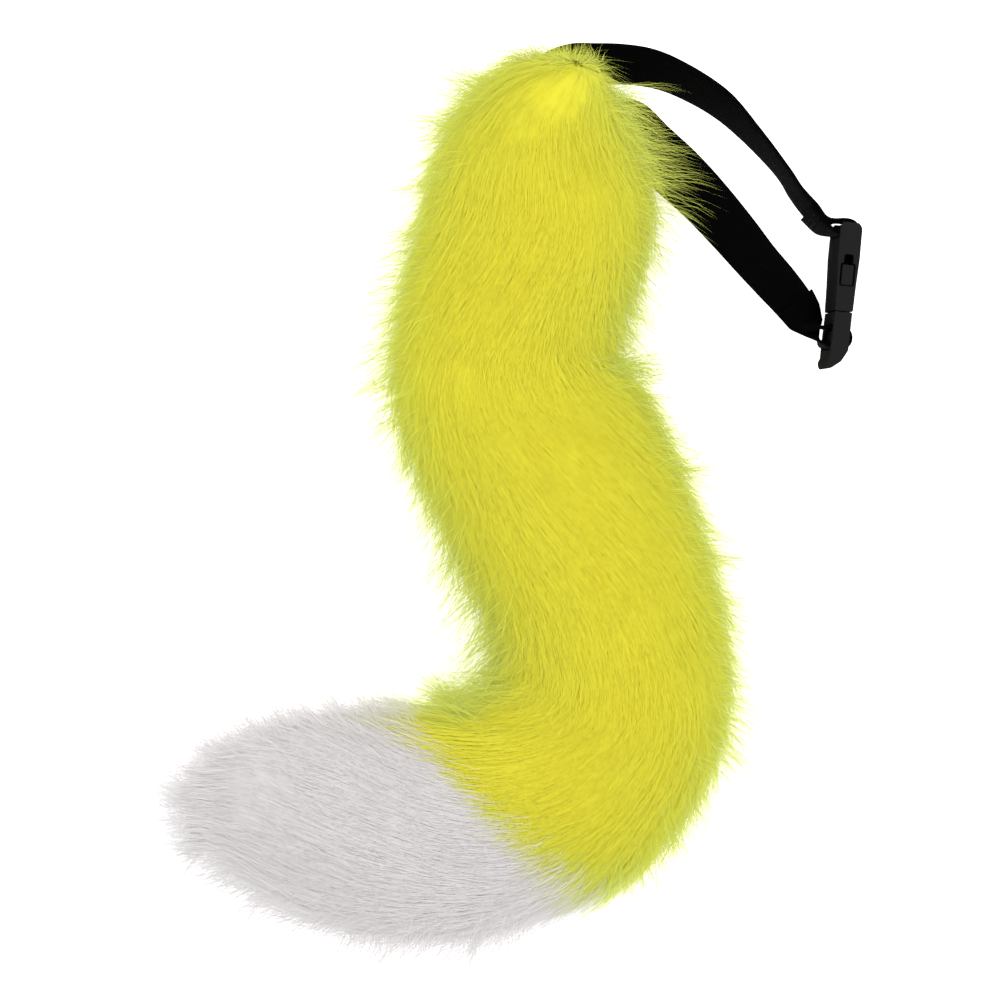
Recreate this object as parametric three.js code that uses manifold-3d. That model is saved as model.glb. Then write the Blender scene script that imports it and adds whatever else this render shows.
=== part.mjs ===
import * as THREE from 'three';
import { mergeVertices } from 'three/addons/utils/BufferGeometryUtils.js';
import Module from 'manifold-3d';

const wasm = await Module();
wasm.setup();

// A stuffed fur costume tail with a webbing belt and a side-release buckle.
// It lies on the floor as it was photographed from above. Millimetres, +Z up.

// Driving sizes of the fur tail
const LAYOUT_SIDE = 570; // side of the square of floor that the tail and belt are laid out on
const BODY_TALL = 114; // height of the stuffed tail at its fullest
const FUR_DEPTH = 9; // how far the sewn tube lies inside the fur's dense outline
const FLAT_SHARE = 0.13; // share of the half height that the floor presses flat
const AXIS_DROPS = 0.35; // how fast the middle of a section comes down where the tail is less tall
const SEAM_GAP = 0.3; // between the yellow tube's end and the pale tip

// Driving sizes of the locks of fur
const LOCK_LONG = 54; // from a lock's root to its point
const LOCK_WIDE = 23; // across a lock at its widest
const LOCK_THICK = 6; // from a lock's back to its ridge
const LOCK_ROOTED = 4; // how deep a lock's root sits in the tube
const LOCK_STANDS = 15; // how far a lock's point stands off the tube
const ROW_PITCH = 33; // between two rows of locks along the tail
const LOCKS_AROUND = 9; // locks in a row, from one lower edge over the top to the other
const FAN_OUT = 0.7; // how far the locks at the very tip spread, against how far they run on
const FAN_REACH = 0.7; // share of their length that those locks keep beyond the tube's end
const LOCK_GAP = 0.35; // between the yellow locks and the pale tip that they lie over

// Driving sizes of the belt
const WEBBING_WIDE = 38;
const WEBBING_THICK = 1.8;
const WEBBING_GAP = 0.3; // all round the webbing, where it goes round a bar of the buckle
const CHANNEL_GAP = 0.8; // all round the webbing, where it passes through the root of the tail
const LAYER_GAP = 0.7; // between two layers of webbing that lie together
const OFF_FLOOR = 0.3; // under the webbing's floor edge

// Driving sizes of the buckle, in its own frame: along it, across its width, and through its thickness
const BUCKLE_WIDE = 50;
const SOCKET_LONG = 51;
const SOCKET_THICK = 12.6;
const ADJUSTER_LONG = 33;
const ADJUSTER_THICK = 9.8;
const MATING_GAP = 0.4;
const SOCKET_WALL = 2.4;
const SIDE_WALL = 4;
const BAR_THICK = 4.8;
const SOCKET_BAR = 5.2;
const WINDOW_FROM = 18.5;
const WINDOW_LONG = 18;
const TAB_LONG = 11.6;
const PRONG_WIDE = 5;
const GUIDE_WIDE = 7;
const ADJUSTER_BAR = 7.4;
const ADJUSTER_FRONT = 7.4; // solid part between the prongs and the first slot
const CORNER_ROUND = 4;

// How the buckle stands on its narrow side
const BUCKLE_AT = { across: 0.849, down: 0.2215 };
const BUCKLE_HEADING = -95.4; // degrees, from +X, along the buckle from its socket to its adjuster
const BUCKLE_LEAN = 3.5; // degrees from upright, to the outside of the belt loop

// The tail's dense outline from above, as places on the layout square. "left" and "right" are the two
// ends of one section, and "tall" is a share of BODY_TALL.
const TAIL_ROWS = [
  { left: [0.532, 0.066], right: [0.586, 0.064], tall: 0.30 },
  { left: [0.503, 0.073], right: [0.607, 0.076], tall: 0.62 },
  { left: [0.474, 0.098], right: [0.617, 0.106], tall: 0.80 },
  { left: [0.445, 0.138], right: [0.634, 0.152], tall: 0.92 },
  { left: [0.431, 0.182], right: [0.651, 0.206], tall: 0.98 },
  { left: [0.418, 0.238], right: [0.643, 0.252], tall: 1.00 },
  { left: [0.404, 0.292], right: [0.627, 0.298], tall: 1.00 },
  { left: [0.395, 0.345], right: [0.616, 0.343], tall: 1.00 },
  { left: [0.394, 0.388], right: [0.618, 0.370], tall: 1.00 },
  { left: [0.401, 0.428], right: [0.640, 0.398], tall: 1.00 },
  { left: [0.418, 0.470], right: [0.659, 0.432], tall: 1.00 },
  { left: [0.437, 0.512], right: [0.675, 0.470], tall: 1.00 },
  { left: [0.456, 0.552], right: [0.692, 0.512], tall: 1.00 },
  { left: [0.475, 0.588], right: [0.706, 0.556], tall: 1.00 },
  { left: [0.490, 0.620], right: [0.716, 0.601], tall: 1.00 },
  { left: [0.499, 0.652], right: [0.723, 0.647], tall: 1.00 },
  { left: [0.499, 0.680], right: [0.726, 0.692], tall: 1.00 },
  { left: [0.488, 0.701], right: [0.719, 0.737], tall: 1.00 },
  { left: [0.470, 0.712], right: [0.705, 0.778], tall: 1.00 },
  { left: [0.459, 0.716], right: [0.681, 0.818], tall: 1.00 },
  { left: [0.449, 0.719], right: [0.644, 0.862], tall: 0.99 },
  { left: [0.431, 0.721], right: [0.590, 0.902], tall: 0.98 },
  { left: [0.397, 0.717], right: [0.535, 0.924], tall: 0.96 },
  { left: [0.350, 0.714], right: [0.483, 0.935], tall: 0.94 },
  { left: [0.315, 0.717], right: [0.430, 0.939], tall: 0.91 },
  { left: [0.282, 0.722], right: [0.376, 0.935], tall: 0.87 },
  { left: [0.252, 0.731], right: [0.322, 0.921], tall: 0.81 },
  { left: [0.226, 0.746], right: [0.274, 0.897], tall: 0.70 },
  { left: [0.205, 0.766], right: [0.235, 0.868], tall: 0.52 },
  { left: [0.194, 0.790], right: [0.207, 0.840], tall: 0.30 },
];
const SEAM_ROW = 20.4; // the place among the rows where the yellow tube ends and the pale tip starts

// The webbing's floor edge, from the socket round the root of the tail to the adjuster. "rise" is its
// height as a share of WEBBING_WIDE. "lean" is in degrees from upright, and "facing" is the way that the
// upper edge leans, in degrees from +X.
const BELT_ROWS = [
  { at: [0.823, 0.226], rise: 0.16, lean: 9, facing: 60 },
  { at: [0.808, 0.212], rise: 0.13, lean: 11, facing: 46 },
  { at: [0.794, 0.193], rise: 0.09, lean: 9, facing: 40 },
  { at: [0.783, 0.174], rise: 0.04, lean: 8, facing: 37 },
  { at: [0.749, 0.137], rise: 0.00, lean: 13, facing: 45 },
  { at: [0.715, 0.109], rise: 0.00, lean: 21, facing: 56 },
  { at: [0.671, 0.086], rise: 0.00, lean: 26, facing: 67 },
  { at: [0.645, 0.079], rise: 0.00, lean: 30, facing: 78 },
  { at: [0.620, 0.077], rise: 0.00, lean: 32, facing: 87 },
  { at: [0.598, 0.078], rise: 0.00, lean: 34, facing: 95 },
  { at: [0.583, 0.079], rise: 0.00, lean: 37, facing: 110 },
  { at: [0.575, 0.082], rise: 0.00, lean: 42, facing: 138 },
  { at: [0.572, 0.087], rise: 0.00, lean: 48, facing: 168 },
  { at: [0.575, 0.092], rise: 0.00, lean: 54, facing: 194 },
  { at: [0.583, 0.095], rise: 0.00, lean: 57, facing: 210 },
  { at: [0.603, 0.094], rise: 0.00, lean: 60, facing: 219 },
  { at: [0.624, 0.091], rise: 0.00, lean: 63, facing: 223 },
  { at: [0.645, 0.097], rise: 0.00, lean: 65, facing: 225 },
  { at: [0.673, 0.123], rise: 0.00, lean: 64, facing: 225 },
  { at: [0.699, 0.147], rise: 0.00, lean: 61, facing: 225 },
  { at: [0.728, 0.179], rise: 0.00, lean: 55, facing: 221 },
  { at: [0.757, 0.215], rise: 0.00, lean: 50, facing: 218 },
  { at: [0.777, 0.242], rise: 0.02, lean: 46, facing: 218 },
  { at: [0.797, 0.266], rise: 0.04, lean: 44, facing: 218 },
  { at: [0.813, 0.288], rise: 0.07, lean: 40, facing: 219 },
  { at: [0.820, 0.303], rise: 0.10, lean: 35, facing: 219 },
  { at: [0.823, 0.320], rise: 0.14, lean: 22, facing: 212 },
];

const UP = new THREE.Vector3(0, 0, 1);

// A place on the layout square, given as shares across it and down it, on the floor
function onFloor([across, down]) {
  return new THREE.Vector3((across - 0.5) * LAYOUT_SIDE, (0.5 - down) * LAYOUT_SIDE, 0);
}

// A closed solid from a three.js geometry, with each of its points moved by the function "place"
function solidFrom(geometry, place = (point) => point) {
  geometry.deleteAttribute('normal');
  geometry.deleteAttribute('uv');
  const merged = mergeVertices(geometry, 1e-4);
  const positions = merged.attributes.position;
  const point = new THREE.Vector3();
  for (let i = 0; i < positions.count; i += 1) {
    const moved = place(point.fromBufferAttribute(positions, i));
    positions.setXYZ(i, moved.x, moved.y, moved.z);
  }
  const corners = Uint32Array.from(merged.index.array);
  if (signedVolume(positions, corners) < 0) {
    for (let i = 0; i < corners.length; i += 3) {
      [corners[i], corners[i + 1]] = [corners[i + 1], corners[i]];
    }
  }
  const vertProperties = Float32Array.from(positions.array);
  return new wasm.Manifold(new wasm.Mesh({ numProp: 3, vertProperties, triVerts: corners }));
}

function signedVolume(positions, corners) {
  const [a, b, c] = [new THREE.Vector3(), new THREE.Vector3(), new THREE.Vector3()];
  let total = 0;
  for (let i = 0; i < corners.length; i += 3) {
    a.fromBufferAttribute(positions, corners[i]);
    b.fromBufferAttribute(positions, corners[i + 1]);
    c.fromBufferAttribute(positions, corners[i + 2]);
    total += a.dot(b.cross(c));
  }
  return total;
}

// The largest of the bodies that a cut has left
function largestBody(solid) {
  return solid.decompose().sort((one, other) => other.volume() - one.volume())[0];
}

function meshFrom(solid, name, colour, roughness) {
  const { vertProperties, triVerts } = solid.getMesh();
  const geometry = new THREE.BufferGeometry();
  geometry.setAttribute('position', new THREE.BufferAttribute(Float32Array.from(vertProperties), 3));
  geometry.setIndex(new THREE.BufferAttribute(Uint32Array.from(triVerts), 1));
  geometry.computeVertexNormals();
  const material = new THREE.MeshStandardMaterial({ color: colour, roughness, metalness: 0 });
  const mesh = new THREE.Mesh(geometry, material);
  mesh.name = name;
  return mesh;
}

// The tail's form: smooth curves through the rows of the table, read by t from 0 at the root to 1
const leftEdge = new THREE.CatmullRomCurve3(TAIL_ROWS.map((row) => onFloor(row.left)));
const rightEdge = new THREE.CatmullRomCurve3(TAIL_ROWS.map((row) => onFloor(row.right)));
const tallness = new THREE.SplineCurve(TAIL_ROWS.map((row, i) => new THREE.Vector2(i, row.tall)));
const middle = new THREE.CatmullRomCurve3(
  TAIL_ROWS.map((row) => onFloor(row.left).lerp(onFloor(row.right), 0.5)),
);
const TAIL_LONG = middle.getLength();
const SEAM_T = SEAM_ROW / (TAIL_ROWS.length - 1);

const TUBE_SIDES = 20;
const YELLOW_SECTIONS = 26;
const PALE_SECTIONS = 12;

// A point of the sewn tube at t, at an angle round its section: 0 is the right side, 90 degrees the top
function tubePoint(t, angle, filled = 1) {
  const left = leftEdge.getPoint(t);
  const right = rightEdge.getPoint(t);
  const across = right.clone().sub(left).multiplyScalar(0.5);
  const halfWide = Math.max(across.length() - FUR_DEPTH, FUR_DEPTH);
  const tall = tallness.getPoint(t).y;
  const halfTall = Math.max((BODY_TALL / 2) * tall - FUR_DEPTH / 2, FUR_DEPTH);
  const centreHigh = (BODY_TALL / 2 - FUR_DEPTH / 2) * (1 - FLAT_SHARE) * tall ** AXIS_DROPS;
  return left.lerp(right, 0.5)
    .addScaledVector(across.normalize(), halfWide * filled * Math.cos(angle))
    .addScaledVector(UP, centreHigh + halfTall * filled * Math.sin(angle));
}

// The tube between two places along the tail, as a closed cylinder drawn on to the tail's form
function tube(fromT, toT, sections, shift = 0) {
  const cylinder = new THREE.CylinderGeometry(1, 1, 1, TUBE_SIDES, sections);
  const startLeft = leftEdge.getPoint(fromT);
  const startRight = rightEdge.getPoint(fromT);
  const onward = startRight.sub(startLeft).normalize().applyAxisAngle(UP, -Math.PI / 2);
  return solidFrom(cylinder, (point) => {
    const along = 0.5 - point.y;
    const filled = Math.hypot(point.x, point.z);
    const t = fromT + (toT - fromT) * along;
    const placed = tubePoint(t, Math.atan2(point.z, point.x), Math.min(filled, 1));
    return along === 0 ? placed.addScaledVector(onward, shift) : placed;
  });
}

// One lock of fur: a three-sided cone bent along the tube, tipwards, its point lifted off it
function lock(share, angle, grown = 0) {
  const cone = new THREE.ConeGeometry(1, 1, 3, 2);
  const step = 0.002;
  const stands = LOCK_STANDS * (0.6 + 0.4 * Math.abs(Math.cos(angle)));
  return solidFrom(cone, (point) => {
    const along = point.y + 0.5;
    const reach = share + (along * LOCK_LONG) / TAIL_LONG;
    const held = Math.min(reach, 1 - 2 * step);
    const past = (reach - held) * TAIL_LONG;
    const t = middle.getUtoTmapping(held);
    const surface = tubePoint(t, angle);
    const onwards = tubePoint(Math.min(t + step, 1), angle).sub(surface).normalize();
    const side = tubePoint(t, angle + step).sub(surface).normalize();
    const out = side.clone().cross(onwards).normalize();
    if (out.dot(surface.clone().sub(tubePoint(t, 0, 0))) < 0) out.negate();
    const fanned = middle.getTangent(t).addScaledVector(out, FAN_OUT).normalize();
    const taper = Math.sin(Math.PI * (0.25 + 0.75 * along));
    const wide = point.x === 0 && point.z === 0 ? 0 : 1;
    const turn = Math.atan2(point.z, point.x);
    const lift = -LOCK_ROOTED + (LOCK_ROOTED + stands) * along ** 1.2;
    return surface
      .addScaledVector(fanned, past * FAN_REACH)
      .addScaledVector(onwards, along === 1 ? grown : 0)
      .addScaledVector(side, wide * ((LOCK_WIDE / 2) * taper + grown) * Math.cos(turn))
      .addScaledVector(out, lift + wide * (LOCK_THICK * taper + grown) * Math.sin(turn));
  });
}

// Where the locks are rooted: staggered rows, over the top and down both sides
const LOWEST_ANGLE = THREE.MathUtils.degToRad(-28);
const HIGHEST_ANGLE = THREE.MathUtils.degToRad(208);

function lockPlaces() {
  const rows = Math.round(TAIL_LONG / ROW_PITCH);
  const places = [];
  for (let row = 0; row < rows; row += 1) {
    const share = (row + 0.35) / rows;
    const stagger = (row % 2) / 2;
    for (let i = 0; i < LOCKS_AROUND; i += 1) {
      const around = (i + 0.25 + stagger) / LOCKS_AROUND;
      places.push({ share, angle: LOWEST_ANGLE + (HIGHEST_ANGLE - LOWEST_ANGLE) * around });
    }
  }
  return places;
}

// The webbing's knots: the middle of its width, and the way its width points, at each place
function knot(middlePoint, wideAxis) {
  return { middlePoint, wideAxis };
}

const buckleLean = THREE.MathUtils.degToRad(BUCKLE_LEAN);
const buckleHeading = THREE.MathUtils.degToRad(BUCKLE_HEADING);
const buckleAlong = new THREE.Vector3(Math.cos(buckleHeading), Math.sin(buckleHeading), 0);
const buckleOutside = buckleAlong.clone().applyAxisAngle(UP, Math.PI / 2);
const buckleWide = UP.clone().multiplyScalar(Math.cos(buckleLean))
  .addScaledVector(buckleOutside, Math.sin(buckleLean));
const buckleThrough = buckleOutside.clone().multiplyScalar(Math.cos(buckleLean))
  .addScaledVector(UP, -Math.sin(buckleLean));
const buckleHigh = (BUCKLE_WIDE / 2) * Math.cos(buckleLean) + (SOCKET_THICK / 2) * Math.sin(buckleLean);
const buckleCentre = onFloor([BUCKLE_AT.across, BUCKLE_AT.down]).addScaledVector(UP, buckleHigh);
const buckleFrame = new THREE.Matrix4().makeBasis(buckleAlong, buckleWide, buckleThrough);
buckleFrame.setPosition(buckleCentre);

// A knot in the buckle's own frame: along it and through its thickness
function buckleKnot(along, through) {
  return knot(new THREE.Vector3(along, 0, through).applyMatrix4(buckleFrame), buckleWide.clone());
}

function beltKnots() {
  return BELT_ROWS.map((row) => {
    const lean = THREE.MathUtils.degToRad(row.lean);
    const outside = new THREE.Vector3(1, 0, 0).applyAxisAngle(UP, THREE.MathUtils.degToRad(row.facing));
    const wideAxis = outside.multiplyScalar(Math.sin(lean)).addScaledVector(UP, Math.cos(lean));
    const high = OFF_FLOOR + row.rise * WEBBING_WIDE + (WEBBING_THICK / 2) * Math.sin(lean);
    const middlePoint = onFloor(row.at)
      .addScaledVector(UP, high)
      .addScaledVector(wideAxis, WEBBING_WIDE / 2);
    return knot(middlePoint, wideAxis);
  });
}

// The same knots one layer further in, for webbing that is doubled back along itself
function doubledBack(knots) {
  const offset = WEBBING_THICK + LAYER_GAP;
  return knots.map(({ middlePoint, wideAxis }, i) => {
    const next = knots[Math.min(i + 1, knots.length - 1)].middlePoint;
    const last = knots[Math.max(i - 1, 0)].middlePoint;
    const onward = next.clone().sub(last).normalize();
    const inward = wideAxis.clone().cross(onward).normalize();
    return knot(middlePoint.clone().addScaledVector(inward, offset), wideAxis);
  });
}

// Centres of the bars that the webbing goes round, along the buckle
const wrap = BAR_THICK / 2 + WEBBING_GAP + WEBBING_THICK / 2;
const SOCKET_BAR_AT = SOCKET_BAR / 2;
const ADJUSTER_FROM = SOCKET_LONG + MATING_GAP;
const SLOT_LONG = WEBBING_THICK + 2 * WEBBING_GAP + 1.1;
const ADJUSTER_BAR_FROM = ADJUSTER_FROM + ADJUSTER_FRONT + SLOT_LONG;
const ADJUSTER_BAR_AT = ADJUSTER_BAR_FROM + ADJUSTER_BAR / 2;

function webbingRoute() {
  const strand = beltKnots();
  const sewnBack = doubledBack(strand.slice(0, 3)).slice(0, 2).reverse();
  const barBack = SOCKET_BAR_AT + SOCKET_BAR / 2 + WEBBING_GAP + WEBBING_THICK / 2;
  const barFront = SOCKET_BAR_AT - SOCKET_BAR / 2 - WEBBING_GAP - WEBBING_THICK / 2;
  const roundSocketBar = [
    buckleKnot(barBack + 0.3, -wrap * 1.6),
    buckleKnot(barBack, 0),
    buckleKnot(SOCKET_BAR_AT + wrap * 0.6, wrap * 0.85),
    buckleKnot(SOCKET_BAR_AT, wrap),
    buckleKnot(SOCKET_BAR_AT - wrap * 0.6, wrap * 0.85),
    buckleKnot(barFront, 0),
    buckleKnot(barFront, -wrap * 1.6),
  ];
  const overBar = ADJUSTER_THICK / 2 + WEBBING_THICK / 2 + 0.2;
  const slotOff = ADJUSTER_BAR / 2 + SLOT_LONG / 2;
  const underside = -ADJUSTER_THICK / 2 - 1.6;
  const overAdjusterBar = [
    buckleKnot(ADJUSTER_BAR_AT + slotOff - 0.6, underside),
    buckleKnot(ADJUSTER_BAR_AT + slotOff, 0),
    buckleKnot(ADJUSTER_BAR_AT + slotOff * 0.82, overBar * 0.72),
    buckleKnot(ADJUSTER_BAR_AT + slotOff * 0.35, overBar),
    buckleKnot(ADJUSTER_BAR_AT - slotOff * 0.35, overBar),
    buckleKnot(ADJUSTER_BAR_AT - slotOff * 0.82, overBar * 0.72),
    buckleKnot(ADJUSTER_BAR_AT - slotOff, 0),
    buckleKnot(ADJUSTER_BAR_AT - slotOff - 0.4, underside),
  ];
  const freeEnd = doubledBack(strand.slice(-4)).slice(1).reverse();
  return [...sewnBack, ...roundSocketBar, ...strand, ...overAdjusterBar, ...freeEnd];
}

const STEPS_PER_KNOT = 3;

// The webbing as a long box drawn along its route, with more on every side where it cuts a neighbour
function webbing(grown = 0) {
  const knots = webbingRoute();
  const route = new THREE.CatmullRomCurve3(knots.map((each) => each.middlePoint), false, 'centripetal');
  const axes = new THREE.CatmullRomCurve3(knots.map((each) => each.wideAxis));
  const box = new THREE.BoxGeometry(1, 1, 1, 1, 1, STEPS_PER_KNOT * (knots.length - 1));
  return solidFrom(box, (point) => {
    const t = point.z + 0.5;
    const wideAxis = axes.getPoint(t).normalize();
    const face = route.getTangent(t).cross(wideAxis).normalize();
    return route.getPoint(t)
      .addScaledVector(wideAxis, point.y * (WEBBING_WIDE + 2 * grown))
      .addScaledVector(face, point.x * (WEBBING_THICK + 2 * grown));
  });
}

// A block in the buckle's frame, from its two opposite corners: along, wide, through
function block(low, high) {
  const size = high.map((value, i) => value - low[i]);
  const box = new THREE.BoxGeometry(...size);
  box.translate(...low.map((value, i) => value + size[i] / 2));
  return solidFrom(box, (point) => point.applyMatrix4(buckleFrame));
}

// An outline along and across the buckle, made as thick as asked, about the middle of its thickness
function plate(shape, thick) {
  const extruded = new THREE.ExtrudeGeometry(shape, { depth: thick, bevelEnabled: false, curveSegments: 5 });
  extruded.translate(0, 0, -thick / 2);
  return solidFrom(extruded, (point) => point.applyMatrix4(buckleFrame));
}

// An outline along and through the buckle, drawn right across its width
function sideProfile(corners) {
  const shape = new THREE.Shape(corners.map(([along, through]) => new THREE.Vector2(along, through)));
  const extruded = new THREE.ExtrudeGeometry(shape, { depth: BUCKLE_WIDE + 2, bevelEnabled: false });
  extruded.translate(0, 0, -BUCKLE_WIDE / 2 - 1);
  return solidFrom(extruded, (point) => {
    const turned = new THREE.Vector3(point.x, point.z, point.y);
    return turned.applyMatrix4(buckleFrame);
  });
}

function roundedEnd(length, halfStart, halfEnd, round) {
  const shape = new THREE.Shape();
  shape.moveTo(length, -halfEnd);
  shape.lineTo(length, halfEnd);
  shape.lineTo(round, halfStart);
  shape.absarc(round, halfStart - round, round, Math.PI / 2, Math.PI, false);
  shape.absarc(round, round - halfStart, round, Math.PI, Math.PI * 1.5, false);
  return shape;
}

const slotHalf = WEBBING_WIDE / 2 + 1;
const half = BUCKLE_WIDE / 2;
const TAB_HALF = 3.8; // half a release tab's thickness
const WINDOW_NOTCH_HALF = 2.6;

function buckleSocket() {
  const thick = SOCKET_THICK / 2;
  const outline = plate(roundedEnd(SOCKET_LONG, half, half, CORNER_ROUND), SOCKET_THICK + 2);
  const upper = [
    [0, thick * 0.72],
    [SOCKET_LONG * 0.06, thick * 0.98],
    [SOCKET_LONG * 0.4, thick],
    [SOCKET_LONG * 0.72, thick * 0.88],
    [SOCKET_LONG, thick * 0.82],
  ];
  const lower = upper.map(([along, through]) => [along, -through]).reverse();
  const body = outline.intersect(sideProfile([...upper, ...lower]));
  const slotEnd = SOCKET_BAR + SLOT_LONG;
  const cavityFrom = slotEnd + SOCKET_WALL * 2;
  const cavityHalf = thick * 0.82 - SOCKET_WALL / 1.6;
  const windowEnd = WINDOW_FROM + WINDOW_LONG;
  const cuts = [
    block([SOCKET_BAR, -slotHalf, -thick - 2], [slotEnd, slotHalf, thick + 2]),
    block([-2, -slotHalf, BAR_THICK / 2], [slotEnd, slotHalf, thick + 2]),
    block([-2, -slotHalf, -thick - 2], [slotEnd, slotHalf, -BAR_THICK / 2]),
    block([cavityFrom, SIDE_WALL - half, -cavityHalf], [SOCKET_LONG + 1, half - SIDE_WALL, cavityHalf]),
    block([WINDOW_FROM, -half - 1, -WINDOW_NOTCH_HALF], [windowEnd, half + 1, WINDOW_NOTCH_HALF]),
    block(
      [windowEnd - TAB_LONG - MATING_GAP * 3, -half - 1, -TAB_HALF - MATING_GAP],
      [windowEnd, half + 1, TAB_HALF + MATING_GAP],
    ),
    webbing(WEBBING_GAP),
  ];
  return largestBody(body.subtract(wasm.Manifold.union(cuts)));
}

function buckleProngs() {
  const thick = ADJUSTER_THICK / 2;
  const end = ADJUSTER_FROM + ADJUSTER_LONG;
  const outline = new THREE.Shape([
    new THREE.Vector2(ADJUSTER_FROM, half),
    new THREE.Vector2(ADJUSTER_FROM + ADJUSTER_LONG * 0.62, half),
    new THREE.Vector2(end - CORNER_ROUND, half * 0.9),
    new THREE.Vector2(end, half * 0.9 - CORNER_ROUND),
    new THREE.Vector2(end, CORNER_ROUND - half * 0.9),
    new THREE.Vector2(end - CORNER_ROUND, -half * 0.9),
    new THREE.Vector2(ADJUSTER_FROM + ADJUSTER_LONG * 0.62, -half),
    new THREE.Vector2(ADJUSTER_FROM, -half),
  ]);
  const profile = sideProfile([
    [ADJUSTER_FROM, thick],
    [ADJUSTER_FROM + ADJUSTER_LONG * 0.66, thick * 0.94],
    [ADJUSTER_FROM + ADJUSTER_LONG * 0.85, thick * 0.3],
    [end - 0.8, -thick * 0.7],
    [end, -thick * 1.2],
    [end - 3, -thick * 1.5],
    [ADJUSTER_FROM + ADJUSTER_LONG * 0.8, -thick * 1.15],
    [ADJUSTER_FROM, -thick],
  ]);
  const firstSlot = ADJUSTER_FROM + ADJUSTER_FRONT;
  const secondSlot = ADJUSTER_BAR_FROM + ADJUSTER_BAR;
  const slots = [firstSlot, secondSlot].map((from) => (
    block([from, -slotHalf, -thick - 2], [from + SLOT_LONG, slotHalf, thick + 2])
  ));
  const windowEnd = WINDOW_FROM + WINDOW_LONG - MATING_GAP;
  const cavityHalf = (SOCKET_THICK / 2) * 0.82 - SOCKET_WALL / 1.6 - MATING_GAP;
  const prongInner = half - SIDE_WALL - MATING_GAP * 2 - PRONG_WIDE * 1.4;
  const reaching = ADJUSTER_FROM + 1;
  const prongs = [1, -1].flatMap((side) => {
    const inOrder = (one, other) => [side * one, side * other].sort((low, high) => low - high);
    const [armLow, armHigh] = inOrder(prongInner, prongInner + PRONG_WIDE);
    const [tabLow, tabHigh] = inOrder(prongInner, half + 0.2);
    return [
      block([windowEnd - TAB_LONG, armLow, -cavityHalf], [reaching, armHigh, cavityHalf]),
      block([windowEnd - TAB_LONG, tabLow, -cavityHalf], [windowEnd, tabHigh, cavityHalf]),
    ];
  });
  const guideHalf = cavityHalf - 1;
  const guide = block([WINDOW_FROM, -GUIDE_WIDE / 2, -guideHalf], [reaching, GUIDE_WIDE / 2, guideHalf]);
  const base = plate(outline, ADJUSTER_THICK * 1.4).intersect(profile).subtract(wasm.Manifold.union(slots));
  const joined = wasm.Manifold.union([base, guide, ...prongs]);
  return largestBody(joined.subtract(webbing(WEBBING_GAP)));
}

// Everything under the floor, which the locks and the tube are trimmed by
function belowFloor() {
  const slab = new THREE.BoxGeometry(3 * LAYOUT_SIDE, 3 * LAYOUT_SIDE, BODY_TALL);
  slab.translate(0, 0, -BODY_TALL / 2);
  return solidFrom(slab);
}

// The yellow tube and the pale tip, each with its locks. The yellow locks at the seam lie over the tip.
function buildTail() {
  const places = lockPlaces();
  const isYellow = ({ share }) => middle.getUtoTmapping(share) < SEAM_T;
  const isPale = ({ share }) => middle.getUtoTmapping(share - LOCK_GAP / TAIL_LONG) > SEAM_T;
  const reaches = ({ share }) => middle.getUtoTmapping(share + LOCK_LONG / TAIL_LONG) > SEAM_T;
  const yellowPlaces = places.filter(isYellow);
  const yellowTube = tube(0, SEAM_T, YELLOW_SECTIONS);
  const yellowLocks = yellowPlaces.map(({ share, angle }) => lock(share, angle));
  const paleLocks = places.filter(isPale).map(({ share, angle }) => lock(share, angle));
  const overLocks = yellowPlaces.filter(reaches).map(({ share, angle }) => lock(share, angle, LOCK_GAP));
  const underneath = belowFloor();
  const yellow = wasm.Manifold.union([yellowTube, ...yellowLocks])
    .subtract(wasm.Manifold.union([underneath, webbing(CHANNEL_GAP)]));
  const pale = wasm.Manifold.union([tube(SEAM_T, 1, PALE_SECTIONS, SEAM_GAP), ...paleLocks])
    .subtract(wasm.Manifold.union([underneath, yellowTube, ...overLocks]));
  return { yellow: largestBody(yellow), pale: largestBody(pale) };
}

const { yellow, pale } = buildTail();

const tail = new THREE.Group();
tail.add(meshFrom(yellow, 'tail_body', 0xdccf37, 0.9));
tail.add(meshFrom(pale, 'tail_tip', 0xd6d2d1, 0.9));

const belt = new THREE.Group();
belt.add(meshFrom(webbing(), 'belt_strap', 0x0c0c0d, 0.8));
belt.add(meshFrom(buckleSocket(), 'buckle_female', 0x232427, 0.45));
belt.add(meshFrom(buckleProngs(), 'buckle_male', 0x232427, 0.45));

// The origin is on the floor, under the middle of everything
const costumeTail = new THREE.Group();
costumeTail.add(tail, belt);
const extent = new THREE.Box3().setFromObject(costumeTail, true);
const centre = extent.getCenter(new THREE.Vector3());
costumeTail.position.set(-centre.x, -centre.y, -extent.min.z);

export default costumeTail;
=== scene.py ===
# %% [markdown]
# # A stuffed fur costume tail on a webbing belt
# The real object is a long tube of plush fabric, stuffed, with a pale end sewn on to a yellow one. A
# black webbing belt passes through its root and closes with a plastic side-release buckle. It lies on
# the floor in an S curve, and we look straight down on it. This first cell loads the fixed frame that
# every piece has to fit, so that nothing here is placed by eye.

# %% Load the frame
import math

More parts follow.
